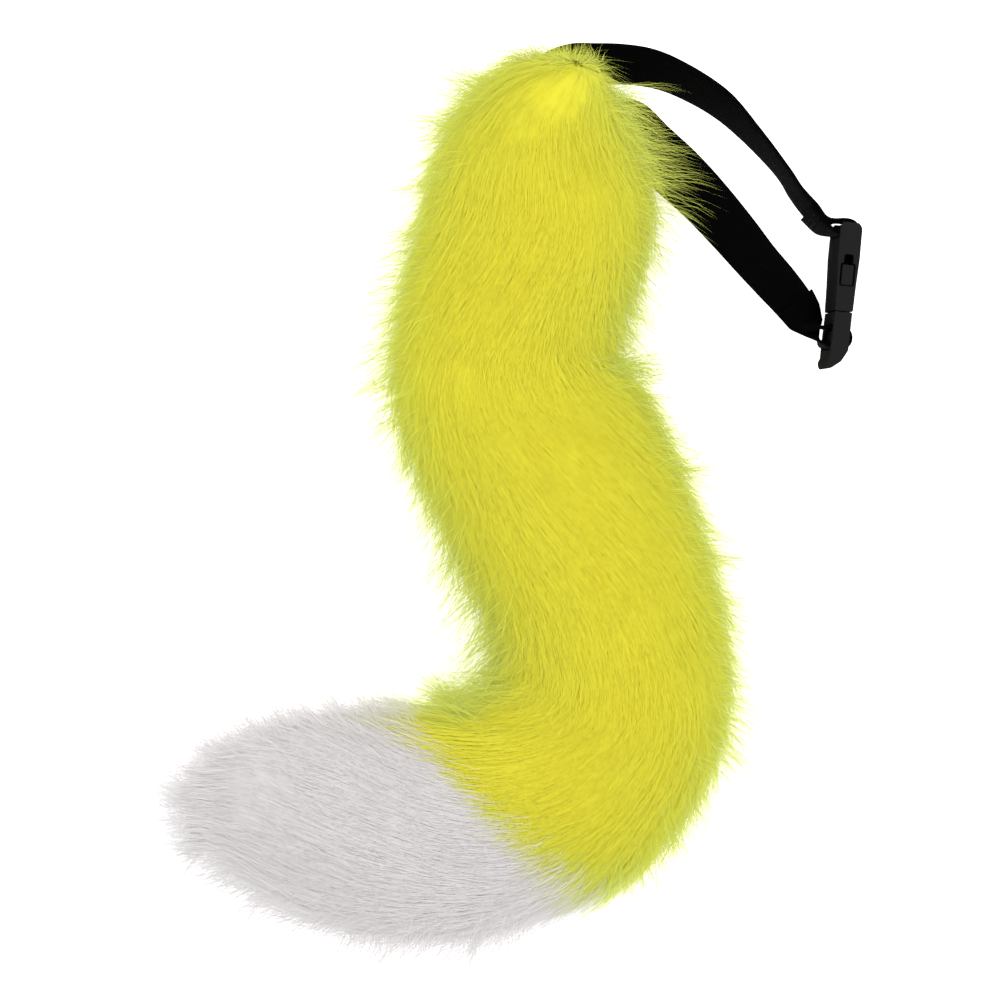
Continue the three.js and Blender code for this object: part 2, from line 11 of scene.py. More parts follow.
import bpy
import numpy as np
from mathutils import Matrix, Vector


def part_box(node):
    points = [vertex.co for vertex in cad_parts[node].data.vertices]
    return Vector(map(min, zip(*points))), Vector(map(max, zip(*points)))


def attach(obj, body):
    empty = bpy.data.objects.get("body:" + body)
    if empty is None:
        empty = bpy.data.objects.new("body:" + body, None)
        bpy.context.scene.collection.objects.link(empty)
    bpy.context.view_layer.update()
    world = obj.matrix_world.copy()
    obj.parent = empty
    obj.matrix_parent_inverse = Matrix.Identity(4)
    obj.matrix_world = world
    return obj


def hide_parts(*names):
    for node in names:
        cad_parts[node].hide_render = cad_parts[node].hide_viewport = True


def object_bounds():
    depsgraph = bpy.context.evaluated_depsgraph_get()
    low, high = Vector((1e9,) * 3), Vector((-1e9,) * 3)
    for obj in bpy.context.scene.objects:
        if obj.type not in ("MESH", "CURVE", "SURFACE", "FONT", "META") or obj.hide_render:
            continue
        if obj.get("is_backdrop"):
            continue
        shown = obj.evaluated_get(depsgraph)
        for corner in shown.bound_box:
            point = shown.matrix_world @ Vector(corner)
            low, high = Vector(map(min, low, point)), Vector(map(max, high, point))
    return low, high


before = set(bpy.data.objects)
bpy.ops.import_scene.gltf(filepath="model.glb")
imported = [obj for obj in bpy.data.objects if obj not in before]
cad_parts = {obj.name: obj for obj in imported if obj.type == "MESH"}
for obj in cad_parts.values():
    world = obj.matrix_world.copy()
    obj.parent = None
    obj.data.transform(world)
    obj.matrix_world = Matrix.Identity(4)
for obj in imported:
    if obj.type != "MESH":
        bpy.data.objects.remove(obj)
CAD_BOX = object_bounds()
MM = 0.001
print("frame box in mm:", [[round(v / MM) for v in corner] for corner in CAD_BOX])

# %% [markdown]
# ## The square that everything is laid out on
# A pattern cutter would draw the lying tail on a squared sheet. We do the same: places are shares of a
# square of floor, across it and down it, and the frame itself says where that square lies. We find it
# from the buckle's socket, a hard part whose place on the square is known.

# %% The layout square
LAYOUT_SIDE = 570 * MM
SOCKET_ON_SQUARE = (0.8454, 0.2661)

socket_low, socket_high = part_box("buckle_female")
socket_middle = (np.array(socket_low) + np.array(socket_high))[:2] / 2
square_offset = np.array([SOCKET_ON_SQUARE[0] - 0.5, 0.5 - SOCKET_ON_SQUARE[1]]) * LAYOUT_SIDE
SQUARE_MIDDLE = socket_middle - square_offset


def on_floor(shares):
    """Places on the floor, in metres, from shares across the square and down it."""
    shares = np.atleast_2d(shares)
    return SQUARE_MIDDLE + np.stack([shares[:, 0] - 0.5, 0.5 - shares[:, 1]], 1) * LAYOUT_SIDE


print("middle of the layout square in mm:", np.round(SQUARE_MIDDLE / MM, 2))

# %% [markdown]
# ## The form of the stuffed tube
# A stuffed tube is described well by its sections: where its left and right sides lie, and how tall it
# is there. A table of those, with a smooth curve through its rows, gives a point of the tube for any
# place along it and any angle round it. Everything that grows on the tube, and the tube itself, reads
# this one function. A sculpted mesh would look as good, but hairs need to know which way is onwards.

# %% The tube's table
BODY_TALL = 114 * MM
FUR_DEPTH = 9 * MM
FLAT_SHARE = 0.13
AXIS_DROPS = 0.35
SEAM_ROW = 20.4

# left across, left down, right across, right down, tall as a share of BODY_TALL
TUBE_ROWS = np.array([
    (0.532, 0.066, 0.586, 0.064, 0.30),
    (0.503, 0.073, 0.607, 0.076, 0.62),
    (0.474, 0.098, 0.617, 0.106, 0.80),
    (0.445, 0.138, 0.634, 0.152, 0.92),
    (0.431, 0.182, 0.651, 0.206, 0.98),
    (0.418, 0.238, 0.643, 0.252, 1.00),
    (0.404, 0.292, 0.627, 0.298, 1.00),
    (0.395, 0.345, 0.616, 0.343, 1.00),
    (0.394, 0.388, 0.618, 0.370, 1.00),
    (0.401, 0.428, 0.640, 0.398, 1.00),
    (0.418, 0.470, 0.659, 0.432, 1.00),
    (0.437, 0.512, 0.675, 0.470, 1.00),
    (0.456, 0.552, 0.692, 0.512, 1.00),
    (0.475, 0.588, 0.706, 0.556, 1.00),
    (0.490, 0.620, 0.716, 0.601, 1.00),
    (0.499, 0.652, 0.723, 0.647, 1.00),
    (0.499, 0.680, 0.726, 0.692, 1.00),
    (0.488, 0.701, 0.719, 0.737, 1.00),
    (0.470, 0.712, 0.705, 0.778, 1.00),
    (0.459, 0.716, 0.681, 0.818, 1.00),
    (0.449, 0.719, 0.644, 0.862, 0.99),
    (0.431, 0.721, 0.590, 0.902, 0.98),
    (0.397, 0.717, 0.535, 0.924, 0.96),
    (0.350, 0.714, 0.483, 0.935, 0.94),
    (0.315, 0.717, 0.430, 0.939, 0.91),
    (0.282, 0.722, 0.376, 0.935, 0.87),
    (0.252, 0.731, 0.322, 0.921, 0.81),
    (0.226, 0.746, 0.274, 0.897, 0.70),
    (0.205, 0.766, 0.235, 0.868, 0.52),
    (0.194, 0.790, 0.207, 0.840, 0.30),
])
SEAM = SEAM_ROW / (len(TUBE_ROWS) - 1)


def curve_through(rows, t):
    """A smooth curve through the rows, read at each t from 0 to 1."""
    spans = len(rows) - 1
    place = np.clip(np.asarray(t, float), 0, 1) * spans
    i = np.minimum(place.astype(int), spans - 1)
    f = (place - i)[:, None]
    before, here = rows[np.maximum(i - 1, 0)], rows[i]
    after, beyond = rows[i + 1], rows[np.minimum(i + 2, spans)]
    rise = (after - before) / 2
    next_rise = (beyond - here) / 2
    return (
        (2 * f**3 - 3 * f**2 + 1) * here
        + (f**3 - 2 * f**2 + f) * rise
        + (3 * f**2 - 2 * f**3) * after
        + (f**3 - f**2) * next_rise
    )


def tube_point(t, angle, raised=0.0, filled=1.0):
    """Points of the tube. Angle 0 is its right side and a quarter turn is its top."""
    row = curve_through(TUBE_ROWS, t)
    left, right = on_floor(row[:, 0:2]), on_floor(row[:, 2:4])
    half = (right - left) / 2
    half_wide = np.linalg.norm(half, axis=1)
    across = half / half_wide[:, None]
    wide = (np.maximum(half_wide - FUR_DEPTH, FUR_DEPTH) + raised) * filled
    tall = (np.maximum(BODY_TALL / 2 * row[:, 4] - FUR_DEPTH / 2, FUR_DEPTH) + raised) * filled
    middle_high = (BODY_TALL - FUR_DEPTH) / 2 * (1 - FLAT_SHARE) * row[:, 4] ** AXIS_DROPS
    flat = (left + right) / 2 + across * (wide * np.cos(angle))[:, None]
    return np.column_stack([flat, middle_high + tall * np.sin(angle)])


along_middle = tube_point(np.linspace(0, 1, 400), np.full(400, math.pi / 2), filled=0.0)
TUBE_LONG = np.linalg.norm(np.diff(along_middle, axis=0), axis=1).sum()
print("the tube is", round(TUBE_LONG / MM), "mm long")

# %% [markdown]
# ## Camera
# The photograph looks straight down, with the root of the tail at the top of the picture. A long lens
# from three metres up keeps the tail's form free of perspective, as product photographers like it. In
# Blender a camera, a lamp or a mesh is data, and an object puts it in the scene, so one helper does that
# for all of them.

# %% Make the camera
CAMERA_HIGH = 3.05
FOCUS_HIGH = 50 * MM
SENSOR_WIDE = 36.0


def add_object(name, data):
    """A new object in the scene, from its data."""
    made = bpy.data.objects.new(name, data)
    bpy.context.collection.objects.link(made)
    return made


camera_data = bpy.data.cameras.new("overhead_camera")
camera_data.sensor_width = SENSOR_WIDE
camera_data.lens = SENSOR_WIDE * (CAMERA_HIGH - FOCUS_HIGH) / LAYOUT_SIDE
camera = add_object("overhead_camera", camera_data)
camera.location = (*SQUARE_MIDDLE, CAMERA_HIGH)
bpy.context.scene.camera = camera
print("lens in mm:", round(camera_data.lens, 1))

# %% [markdown]
# ## Floor and light
# Such a tail is photographed on a white light table: the table itself glows a little, so there is no
# dark shadow beside the fur, and the fine hairs at its edge are lit from behind. One very large soft
# lamp hangs overhead, under an even pale sky. The colours go to the screen unchanged, because the dyed
# yellow has to stay as strong as it is.

# %% Light the stage
SKY_STRENGTH = 0.92
OVERHEAD_POWER = 18.0
SIDE_POWER = 5.0
TABLE_GLOW = 1.0


def add_lamp(name, place, size, power):
    """A large square lamp that faces the tail."""
    data = bpy.data.lights.new(name, "AREA")
    data.shape = "SQUARE"
    data.size = size
    data.energy = power
    lamp = add_object(name, data)
    lamp.location = place
    lamp.rotation_mode = "QUATERNION"
    lamp.rotation_quaternion = (-Vector(place)).to_track_quat("-Z", "Y")
    return lamp


add_lamp("overhead_softbox", (-0.25, 0.35, 2.0), 1.6, OVERHEAD_POWER)
add_lamp("side_softbox", (1.5, -0.9, 1.1), 1.2, SIDE_POWER)

sky = bpy.data.worlds.new("studio_sky")
sky.use_nodes = True
sky.node_tree.nodes["Background"].inputs["Color"].default_value = (1, 1, 1, 1)
sky.node_tree.nodes["Background"].inputs["Strength"].default_value = SKY_STRENGTH
bpy.context.scene.world = sky
bpy.context.scene.view_settings.view_transform = "Standard"


# %% [markdown]
# ## Small helpers for materials and meshes
# A material is a little graph of nodes. The helpers below make one node and set its values by name, and
# add the two things that nearly every material here has: a ramp for its colour, and a fine relief. The
# mesh helper turns arrays of points and faces into an object in one go.

# %% Material and mesh helpers
def new_material(name, roughness, specular=0.5):
    """A material with its shader, and a function that adds one node and sets its values."""
    material = bpy.data.materials.new(name)
    material.use_nodes = True
    nodes = material.node_tree.nodes
    shader = nodes["Principled BSDF"]
    shader.inputs["Roughness"].default_value = roughness
    shader.inputs["Specular IOR Level"].default_value = specular

    def add(kind, values=(), **settings):
        node = nodes.new(kind)
        for key, value in settings.items():
            setattr(node, key, value)
        for socket, value in dict(values).items():
            node.inputs[socket].default_value = value
        return node

    return material, shader, add, material.node_tree.links.new


def colour_by(material, value, stops):
    """Colours a material by a ramp of (place, colour) stops, read at another node's value."""
    tree = material.node_tree
    ramp = tree.nodes.new("ShaderNodeValToRGB")
    elements = ramp.color_ramp.elements
    while len(elements) < len(stops):
        elements.new(0.5)
    for element, (place, colour) in zip(elements, stops):
        element.position = place
        element.color = (*colour, 1)
    tree.links.new(value, ramp.inputs["Fac"])
    tree.links.new(ramp.outputs["Color"], tree.nodes["Principled BSDF"].inputs["Base Color"])


def bump_by(material, height, strength, distance):
    """Shades a material as if it were raised a little by another node's value."""
    tree = material.node_tree
    bump = tree.nodes.new("ShaderNodeBump")
    bump.inputs["Strength"].default_value = strength
    bump.inputs["Distance"].default_value = distance
    tree.links.new(height, bump.inputs["Height"])
    tree.links.new(bump.outputs["Normal"], tree.nodes["Principled BSDF"].inputs["Normal"])


def mesh_object(name, points, faces, material):
    """A smooth-shaded object from points and faces, in one material."""
    mesh = bpy.data.meshes.new(name)
    mesh.from_pydata([tuple(p) for p in points], [], [tuple(int(i) for i in f) for f in faces])
    mesh.polygons.foreach_set("use_smooth", np.ones(len(mesh.polygons), bool))
    mesh.materials.append(material)
    return add_object(name, mesh)


FLOOR_HALF = 6.0
FLOOR_SHADES = [(0.0, (0.88, 0.88, 0.88)), (1.0, (0.9, 0.9, 0.9))]

floor_material, floor_shader, add, link = new_material("white_sweep", 0.9)
floor_noise = add("ShaderNodeTexNoise", {"Scale": 30.0})
colour_by(floor_material, floor_noise.outputs["Fac"], FLOOR_SHADES)
floor_shader.inputs["Emission Color"].default_value = (1, 1, 1, 1)
floor_shader.inputs["Emission Strength"].default_value = TABLE_GLOW
floor_corners = [(-FLOOR_HALF, -FLOOR_HALF, 0), (FLOOR_HALF, -FLOOR_HALF, 0),
                 (FLOOR_HALF, FLOOR_HALF, 0), (-FLOOR_HALF, FLOOR_HALF, 0)]
floor = mesh_object("floor", floor_corners, [(0, 1, 2, 3)], floor_material)
floor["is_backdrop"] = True
print("floor:", 2 * FLOOR_HALF, "m square")

# %% [markdown]
# ## The colours of the fur
# Plush pile is dyed evenly, yet it never looks even: each hair has its own tone. The colour also holds
# painted light: the tops of the tufts are painted warm and lit, and the pile down the sides is painted
# greener and a little darker, for the light that comes through it there. Each hair carries its tone and
# this painted light as the first number of its texture map, and the material turns that number into a
# colour. The dense pile between the hairs has the same colours by its height on the tube, made a little
# darker by painted shade where the hairs cover it, and fine streaks along it.

# %% Fur materials
HAIR_MAP, PILE_MAP = "OFBake", "along_and_around"
# Painted light: the ramp place of the sides, painted greener and darker, and of the tops, painted warm and
# lit.
PAINTED_SIDE_SHADE = 0.14
PAINTED_TOP_LIGHT = 0.82
# Painted shade: the pile's colours are darkened by this factor, where the hairs cover it.
PILE_PAINTED_SHADE = 0.92
PILE_STREAKS = 0.16
HAIR_ROUGH, PILE_ROUGH, FIBRE_SHINE = 0.62, 0.9, 0.1


def fur_material(name, shades):
    """Hair whose colour goes by each hair's own tone and painted light, read from its texture map."""
    material, _, add, link = new_material(name, HAIR_ROUGH, FIBRE_SHINE)
    where = add("ShaderNodeUVMap", uv_map=HAIR_MAP)
    split = add("ShaderNodeSeparateXYZ")
    link(where.outputs["UV"], split.inputs["Vector"])
    colour_by(material, split.outputs["X"], shades)
    return material


# The ramp runs from the sides' painted shade and green glow (0) to the tops' painted warm light (1).
YELLOW_SHADES = [
    (0.0, (0.64, 0.73, 0.150)),
    (0.3, (0.63, 0.67, 0.085)),
    (0.6, (0.73, 0.71, 0.055)),
    (0.85, (0.79, 0.725, 0.042)),
    (1.0, (0.81, 0.65, 0.036)),
]
# The pale ramp is painted lighter towards its sides' end (0), as a glow where the pile is thin against the
# light.
PALE_SHADES = [
    (0.0, (0.85, 0.84, 0.85)),
    (0.5, (0.76, 0.735, 0.735)),
    (1.0, (0.74, 0.71, 0.705)),
]
yellow_fur = fur_material("yellow_plush_hair", YELLOW_SHADES)
pale_fur = fur_material("pale_plush_hair", PALE_SHADES)


def pile_material(name, shades):
    """The dense pile between the hairs: the hairs' colours with painted light by height, painted shade, and
    fine streaks along it.
    """
    material, _, add, link = new_material(name, PILE_ROUGH, FIBRE_SHINE)
    where = add("ShaderNodeUVMap", uv_map=PILE_MAP)
    split = add("ShaderNodeSeparateXYZ")
    link(where.outputs["UV"], split.inputs["Vector"])
    turned = add("ShaderNodeMath", {1: 2 * math.pi}, operation="MULTIPLY")
    link(split.outputs["Y"], turned.inputs[0])
    height = add("ShaderNodeMath", operation="SINE")
    link(turned.outputs["Value"], height.inputs[0])
    stretch = add("ShaderNodeMapping", {"Scale": (30.0, 420.0, 1.0)})
    link(where.outputs["UV"], stretch.inputs["Vector"])
    streaks = add("ShaderNodeTexNoise", {"Scale": 1.0, "Detail": 5.0, "Roughness": 0.65})
    link(stretch.outputs["Vector"], streaks.inputs["Vector"])
    # Painted light: the ramp place goes by height round the tube, from the sides' painted shade to the tops'
    # painted light.
    shade = add("ShaderNodeMapRange", {"To Min": PAINTED_SIDE_SHADE, "To Max": PAINTED_TOP_LIGHT})
    link(height.outputs["Value"], shade.inputs["Value"])
    varied = add("ShaderNodeMath", {1: PILE_STREAKS, 2: -PILE_STREAKS / 2}, operation="MULTIPLY_ADD")
    link(streaks.outputs["Fac"], varied.inputs[0])
    total = add("ShaderNodeMath", operation="ADD", use_clamp=True)
    link(shade.outputs["Result"], total.inputs[0])
    link(varied.outputs["Value"], total.inputs[1])
    # Painted shade: every stop darkened, where the hairs cover the pile.
    darker = [(place, tuple(part * PILE_PAINTED_SHADE for part in colour)) for place, colour in shades]
    colour_by(material, total.outputs["Value"], darker)
    bump_by(material, streaks.outputs["Fac"], 0.1, 1 * MM)
    return material


yellow_pile = pile_material("yellow_plush_pile", YELLOW_SHADES)
pale_pile = pile_material("pale_plush_pile", PALE_SHADES)
print("fur materials:", [m.name for m in (yellow_fur, pale_fur, yellow_pile, pale_pile)])

# %% [markdown]
# ## The stuffed tube under the hair
# Between the long hairs one sees a dense short pile. It is made as a closed tube just inside the fur's
# outline, tufted by smooth noise so that it never shows a straight edge, and pressed flat on the floor.
# The yellow and the pale tubes meet at the sewn seam.

# %% Two tubes of dense pile
PILE_RAISED = 6.5 * MM
PILE_AROUND = 96
TUFT_HEIGHT, TUFT_CELLS = 0.5 * MM, (90, 30)
DOME_RINGS = 6
SOFT_LIGHT = 0.8
SEAM_GAP = 0.0004


def smooth_noise(seed, u, v, cells_u, cells_v):
    """Soft noise from -1 to 1 over two coordinates, the second going round."""
    grid = np.random.default_rng(seed).uniform(-1, 1, (cells_u + 2, cells_v))
    x, y = np.clip(u, 0, 1) * cells_u, (v % 1.0) * cells_v
    i, j = x.astype(int), y.astype(int) % cells_v
    fx, fy = x - x.astype(int), y - y.astype(int)
    fx, fy = fx * fx * (3 - 2 * fx), fy * fy * (3 - 2 * fy)
    k = (j + 1) % cells_v
    near = grid[i, j] * (1 - fy) + grid[i, k] * fy
    far = grid[i + 1, j] * (1 - fy) + grid[i + 1, k] * fy
    return near * (1 - fx) + far * fx


def unit(vectors):
    return vectors / np.maximum(np.linalg.norm(vectors, axis=-1, keepdims=True), 1e-9)


def onward_at(t):
    """Which way the tube runs at t."""
    middles = tube_point(np.clip([t - 0.01, t + 0.01], 0, 1), np.zeros(2), filled=0.0)
    return unit(middles[1] - middles[0])


def tube_ring(t, filled, ahead):
    """One ring of the pile, drawn in by "filled" and pushed on along the tail by "ahead"."""
    turn = np.arange(PILE_AROUND) / PILE_AROUND
    at = np.full(PILE_AROUND, t)
    tufts = smooth_noise(3, at, turn, *TUFT_CELLS) * TUFT_HEIGHT
    points = tube_point(at, turn * 2 * math.pi, PILE_RAISED + tufts, filled)
    points = points + onward_at(t) * ahead
    points[:, 2] = np.maximum(points[:, 2], 0.0)
    return points


def pile_tube(name, start, end, steps, dome_start, dome_end, material):
    """A closed tube of pile between two places along the tail, with a rounded or a flat end."""
    domes = [math.cos(a) for a in np.linspace(0, math.pi / 2, DOME_RINGS + 1)[1:-1]]
    places = [(start, f, -dome_start * math.sqrt(1 - f * f)) for f in reversed(domes)] if dome_start else []
    places += [(t, 1.0, 0.0) for t in np.linspace(start, end, steps)]
    places += [(end, f, dome_end * math.sqrt(1 - f * f)) for f in domes] if dome_end else []
    rings = np.stack([tube_ring(*place) for place in places])
    poles = np.stack([tube_ring(start, 0.0, -dome_start)[0], tube_ring(end, 0.0, dome_end)[0]])
    index = np.arange(len(places) * PILE_AROUND).reshape(-1, PILE_AROUND)
    turned = np.roll(index, -1, axis=1)
    quads = np.stack([index[:-1], turned[:-1], turned[1:], index[1:]], -1).reshape(-1, 4)
    first, last = index.size, index.size + 1
    caps = [(first, b, a) for a, b in zip(index[0], turned[0])]
    caps += [(last, a, b) for a, b in zip(index[-1], turned[-1])]
    made = mesh_object(name, [*rings.reshape(-1, 3), *poles], [*quads, *caps], material)

    along = np.array([place[0] for place in places])
    turn = np.arange(PILE_AROUND + 1) / PILE_AROUND
    t, a = np.meshgrid(along, turn, indexing="ij")
    grid = np.stack([t, a], -1)
    quad_uv = np.stack([grid[:-1, :-1], grid[:-1, 1:], grid[1:, 1:], grid[1:, :-1]], 2).reshape(-1, 2)
    cap_turns = np.repeat((np.arange(PILE_AROUND) + 0.5) / PILE_AROUND, 3)
    cap_uv = np.vstack([np.column_stack([np.full_like(cap_turns, at), cap_turns]) for at in (start, end)])
    uv = made.data.uv_layers.new(name=PILE_MAP)
    uv.data.foreach_set("uv", np.concatenate([quad_uv, cap_uv]).astype(np.float32).ravel())

    normals = np.zeros((len(made.data.vertices), 3), np.float32)
    made.data.vertices.foreach_get("normal", normals.ravel())
    normals = unit(normals + np.array([0, 0, SOFT_LIGHT]))
    made.data.normals_split_custom_set_from_vertices(normals)
    return made


DOME_ROOT, DOME_TIP = 6 * MM, 12 * MM
pile_body = pile_tube("pile_body", 0.0, SEAM - SEAM_GAP, 260, DOME_ROOT, 0.0, yellow_pile)
pile_tip = pile_tube("pile_tip", SEAM + SEAM_GAP, 1.0, 120, 0.0, DOME_TIP, pale_pile)
for pile, node, slot in ((pile_body, "tail_body", "yellow_fur"), (pile_tip, "tail_tip", "pale_fur")):
    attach(pile, "root")
    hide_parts(node)
print("pile triangles:", [len(p.data.polygons) * 2 for p in (pile_body, pile_tip)])

# %% [markdown]
# ## How a hair grows
# Each hair starts on the tube, leaves it at an angle, and bends over to lie along the tail towards the
# tip. A hair is a curve with four control points: its root, a handle that says how steeply it leaves,
# its end, and a handle that says how it lies there. Hairs are gathered into tufts, whose ends draw
# together a little as real pile does. A particle system could do this too, but its hairs are no mesh,
# so they would be lost when the model is used elsewhere.

# %% The tube as a grid of places and directions
GRID_T, GRID_A = 600, 180


def make_grid():
    """Places, onward directions, outward directions and speeds, over the whole tube."""
    t = np.linspace(0, 1, GRID_T)
    angle = np.arange(GRID_A) / GRID_A * 2 * math.pi
    tt, aa = (g.ravel() for g in np.meshgrid(t, angle, indexing="ij"))
    points = tube_point(tt, aa).reshape(GRID_T, GRID_A, 3)
    onward = np.gradient(points, t, axis=0)
    side = (np.roll(points, -1, axis=1) - np.roll(points, 1, axis=1)) / (2 * angle[1])
    speed = np.linalg.norm(onward, axis=2, keepdims=True)
    round_speed = np.linalg.norm(side, axis=2, keepdims=True)
    onward = onward / np.maximum(speed, 1e-6)
    side = side / np.maximum(round_speed, 1e-6)
    out = np.cross(side, onward)
    out /= np.linalg.norm(out, axis=2, keepdims=True)
    centre = tube_point(tt, aa, filled=0.0).reshape(GRID_T, GRID_A, 3)
    out *= np.sign((out * (points - centre)).sum(2, keepdims=True))
    return np.concatenate([points, onward, side, out, speed, round_speed], axis=2)


TUBE_GRID = make_grid()


def read_grid(t, turn):
    """The grid's values at any t and turn, from the four nearest cells."""
    x, y = np.clip(t, 0, 1) * (GRID_T - 1), (turn % 1.0) * GRID_A
    i, j = np.minimum(x.astype(int), GRID_T - 2), y.astype(int) % GRID_A
    fx, fy = (x - i)[:, None], (y - np.floor(y))[:, None]
    k = (j + 1) % GRID_A
    near = TUBE_GRID[i, j] * (1 - fy) + TUBE_GRID[i, k] * fy
    far = TUBE_GRID[i + 1, j] * (1 - fy) + TUBE_GRID[i + 1, k] * fy
    return near * (1 - fx) + far * fx


areas = (TUBE_GRID[..., 12] * TUBE_GRID[..., 13]).clip(0)
print("hair-bearing area in cm2:", round(areas.mean() * 2 * math.pi * 1e4))

# %% [markdown]
# ## Where hairs root, and what holds them in
# Roots are drawn so that each square millimetre of cloth gets as many. Real pile gathers into tufts, so
# each hair is told how far off the middle of its tuft is. No hair may reach beyond the room that the
# frame allows round its box, so one that would is shortened. All of this is done on whole arrays, which
# grows every hair of a stretch in a second or two.

# %% Roots and tufts
LOWEST_TURN, HIGHEST_TURN = -0.14, 0.64
TUFT_SIZE = 11 * MM
TUFTS_AROUND = 26
TUFT_NUMBERS = 4000
BOX_SHARE, BOX_EXTRA = 0.028, 9 * MM

cad_low, cad_high = (np.array(corner) for corner in CAD_BOX)
HAIR_ROOM = (cad_high - cad_low) * BOX_SHARE + BOX_EXTRA
HAIR_LOW, HAIR_HIGH = cad_low - HAIR_ROOM, cad_high + HAIR_ROOM


def root_places(rng, count, start, end):
    """Roots spread evenly over the cloth between two places along the tail."""
    i = np.linspace(start, end, 200)
    j = np.linspace(LOWEST_TURN, HIGHEST_TURN, 60)
    cells = read_grid(np.repeat(i, len(j)), np.tile(j, len(i)))
    weight = (cells[:, 12] * cells[:, 13]).clip(0)
    chosen = rng.choice(len(weight), count, p=weight / weight.sum())
    t = i[chosen // len(j)] + rng.uniform(-0.5, 0.5, count) * (i[1] - i[0])
    turn = j[chosen % len(j)] + rng.uniform(-0.5, 0.5, count) * (j[1] - j[0])
    return np.clip(t, start, end), turn


def tuft_of(t, turn, cell):
    """Each hair's tuft: how far its middle is onwards and sideways, and a number of its own."""
    rows = np.floor(t * TUBE_LONG / TUFT_SIZE)
    shift = np.random.default_rng(11).uniform(0, 1, TUFT_NUMBERS)
    column = turn * TUFTS_AROUND + shift[rows.astype(int) % TUFT_NUMBERS]
    number = (rows * 31 + np.floor(column)).astype(int) % TUFT_NUMBERS
    onwards = ((rows + 0.5) * TUFT_SIZE / TUBE_LONG - t) * cell[:, 12]
    sideways = (np.floor(column) + 0.5 - column) / TUFTS_AROUND * cell[:, 13] * 2 * math.pi
    return onwards, sideways, number


def kept_in_box(controls):
    """Shortens each hair that would reach beyond the room round the frame's box."""
    root = controls[:, :1]
    way = controls - root
    room = np.where(way > 0, HAIR_HIGH - root, HAIR_LOW - root)
    share = np.where(np.abs(way) > 1e-6, room / np.where(np.abs(way) > 1e-6, way, 1), 1.0)
    return root + way * share.min(axis=(1, 2)).clip(0.05, 1)[:, None, None]


def hair_curve(base, leave, lie, tip, long):
    """Four curve points: where the hair starts, how it leaves, how it comes to lie, and its end."""
    third = (long / 3)[:, None]
    return kept_in_box(np.stack([base, base + leave * third, tip - lie * third, tip], 1))


print("hairs may reach beyond the frame by, in mm:", np.round(HAIR_ROOM / MM, 1))

# %% [markdown]
# ## Two kinds of hair, one way to grow them
# Most hairs are combed down: they skim the pile, and splay a little towards the floor. The others stand
# out and make the soft outline, and there are more of them down the sides. At the root of the tail the
# hair turns round a whorl, where the tube was sewn shut, so hairs near it point away from it. Where the
# yellow cloth is sewn to the pale one the yellow is greener, and its hairs lie over the seam, longest on
# the right. The two kinds share all of the reckoning and differ only in the numbers listed first.

# %% Grow hairs
STANDING = {"long": 40 * MM, "spread": 0.20, "shortest": 0.45, "longest": 1.5, "reach": 0.74,
            "beyond_end": 0.80, "gather": (0.1, 0.45), "fan": (0.3, 0.8), "steep": (0.5, 1.0), "sink": 0.12}
COMBED = {"long": 36 * MM, "spread": 0.14, "shortest": 0.6, "longest": 1.4, "reach": 0.98,
          "beyond_end": 0.42, "gather": (0.0, 0.25), "fan": (0.05, 0.3), "steep": (0.14, 0.26), "sink": 0.05}
STANDING_ON_TOP, STANDING_AT_SIDES = 0.06, 0.50
STANDING_LIFT_TOP, STANDING_LIFT_SIDE = 5 * MM, 17 * MM
SPLAY, WAVES, OWN_WAY, TUFT_WAY = 0.42, 0.12, 0.08, 0.05
WAVE_CELLS, STRAY_CELLS = (26, 9), (70, 6)
SKIM_LOW, SKIM_HIGH = 0.9 * MM, 3.2 * MM
ROOT_DEPTH = 1.2 * MM
END_FROM, ROOT_END = 0.955, 0.006
SEAM_BAND, SEAM_GREENER = 0.05, 0.45
SEAM_HAIR_LEFT, SEAM_HAIR_RIGHT = 0.5, 1.4
WHORL_AT, WHORL_REACH, WHORL_PULL = (0.030, 0.165), 26 * MM, 1.3
TURNED_SHORTER, TURNED_LEFT_SHORTER, LEFTWARD = 0.8, 0.45, -0.3
TUFT_LIFTS, OWN_LIFTS = (0.75, 1.25), (0.15, 1.1)
TUFT_SHADE, OWN_SHADE = 0.012, 0.035
SKYWARD = np.array([0, 0, 2 * SOFT_LIGHT])
WHORL = read_grid(np.array([WHORL_AT[0]]), np.array([WHORL_AT[1]]))[0, 0:3]


def lengths(rng, kind, count):
    return kind["long"] * rng.normal(1, kind["spread"], count).clip(kind["shortest"], kind["longest"])


def by_kind(rng, standing, key):
    """A random number for each hair, within the range of its own kind."""
    stood, lain = (rng.uniform(*kind[key], len(standing)) for kind in (STANDING, COMBED))
    return np.where(standing, stood, lain)[:, None]


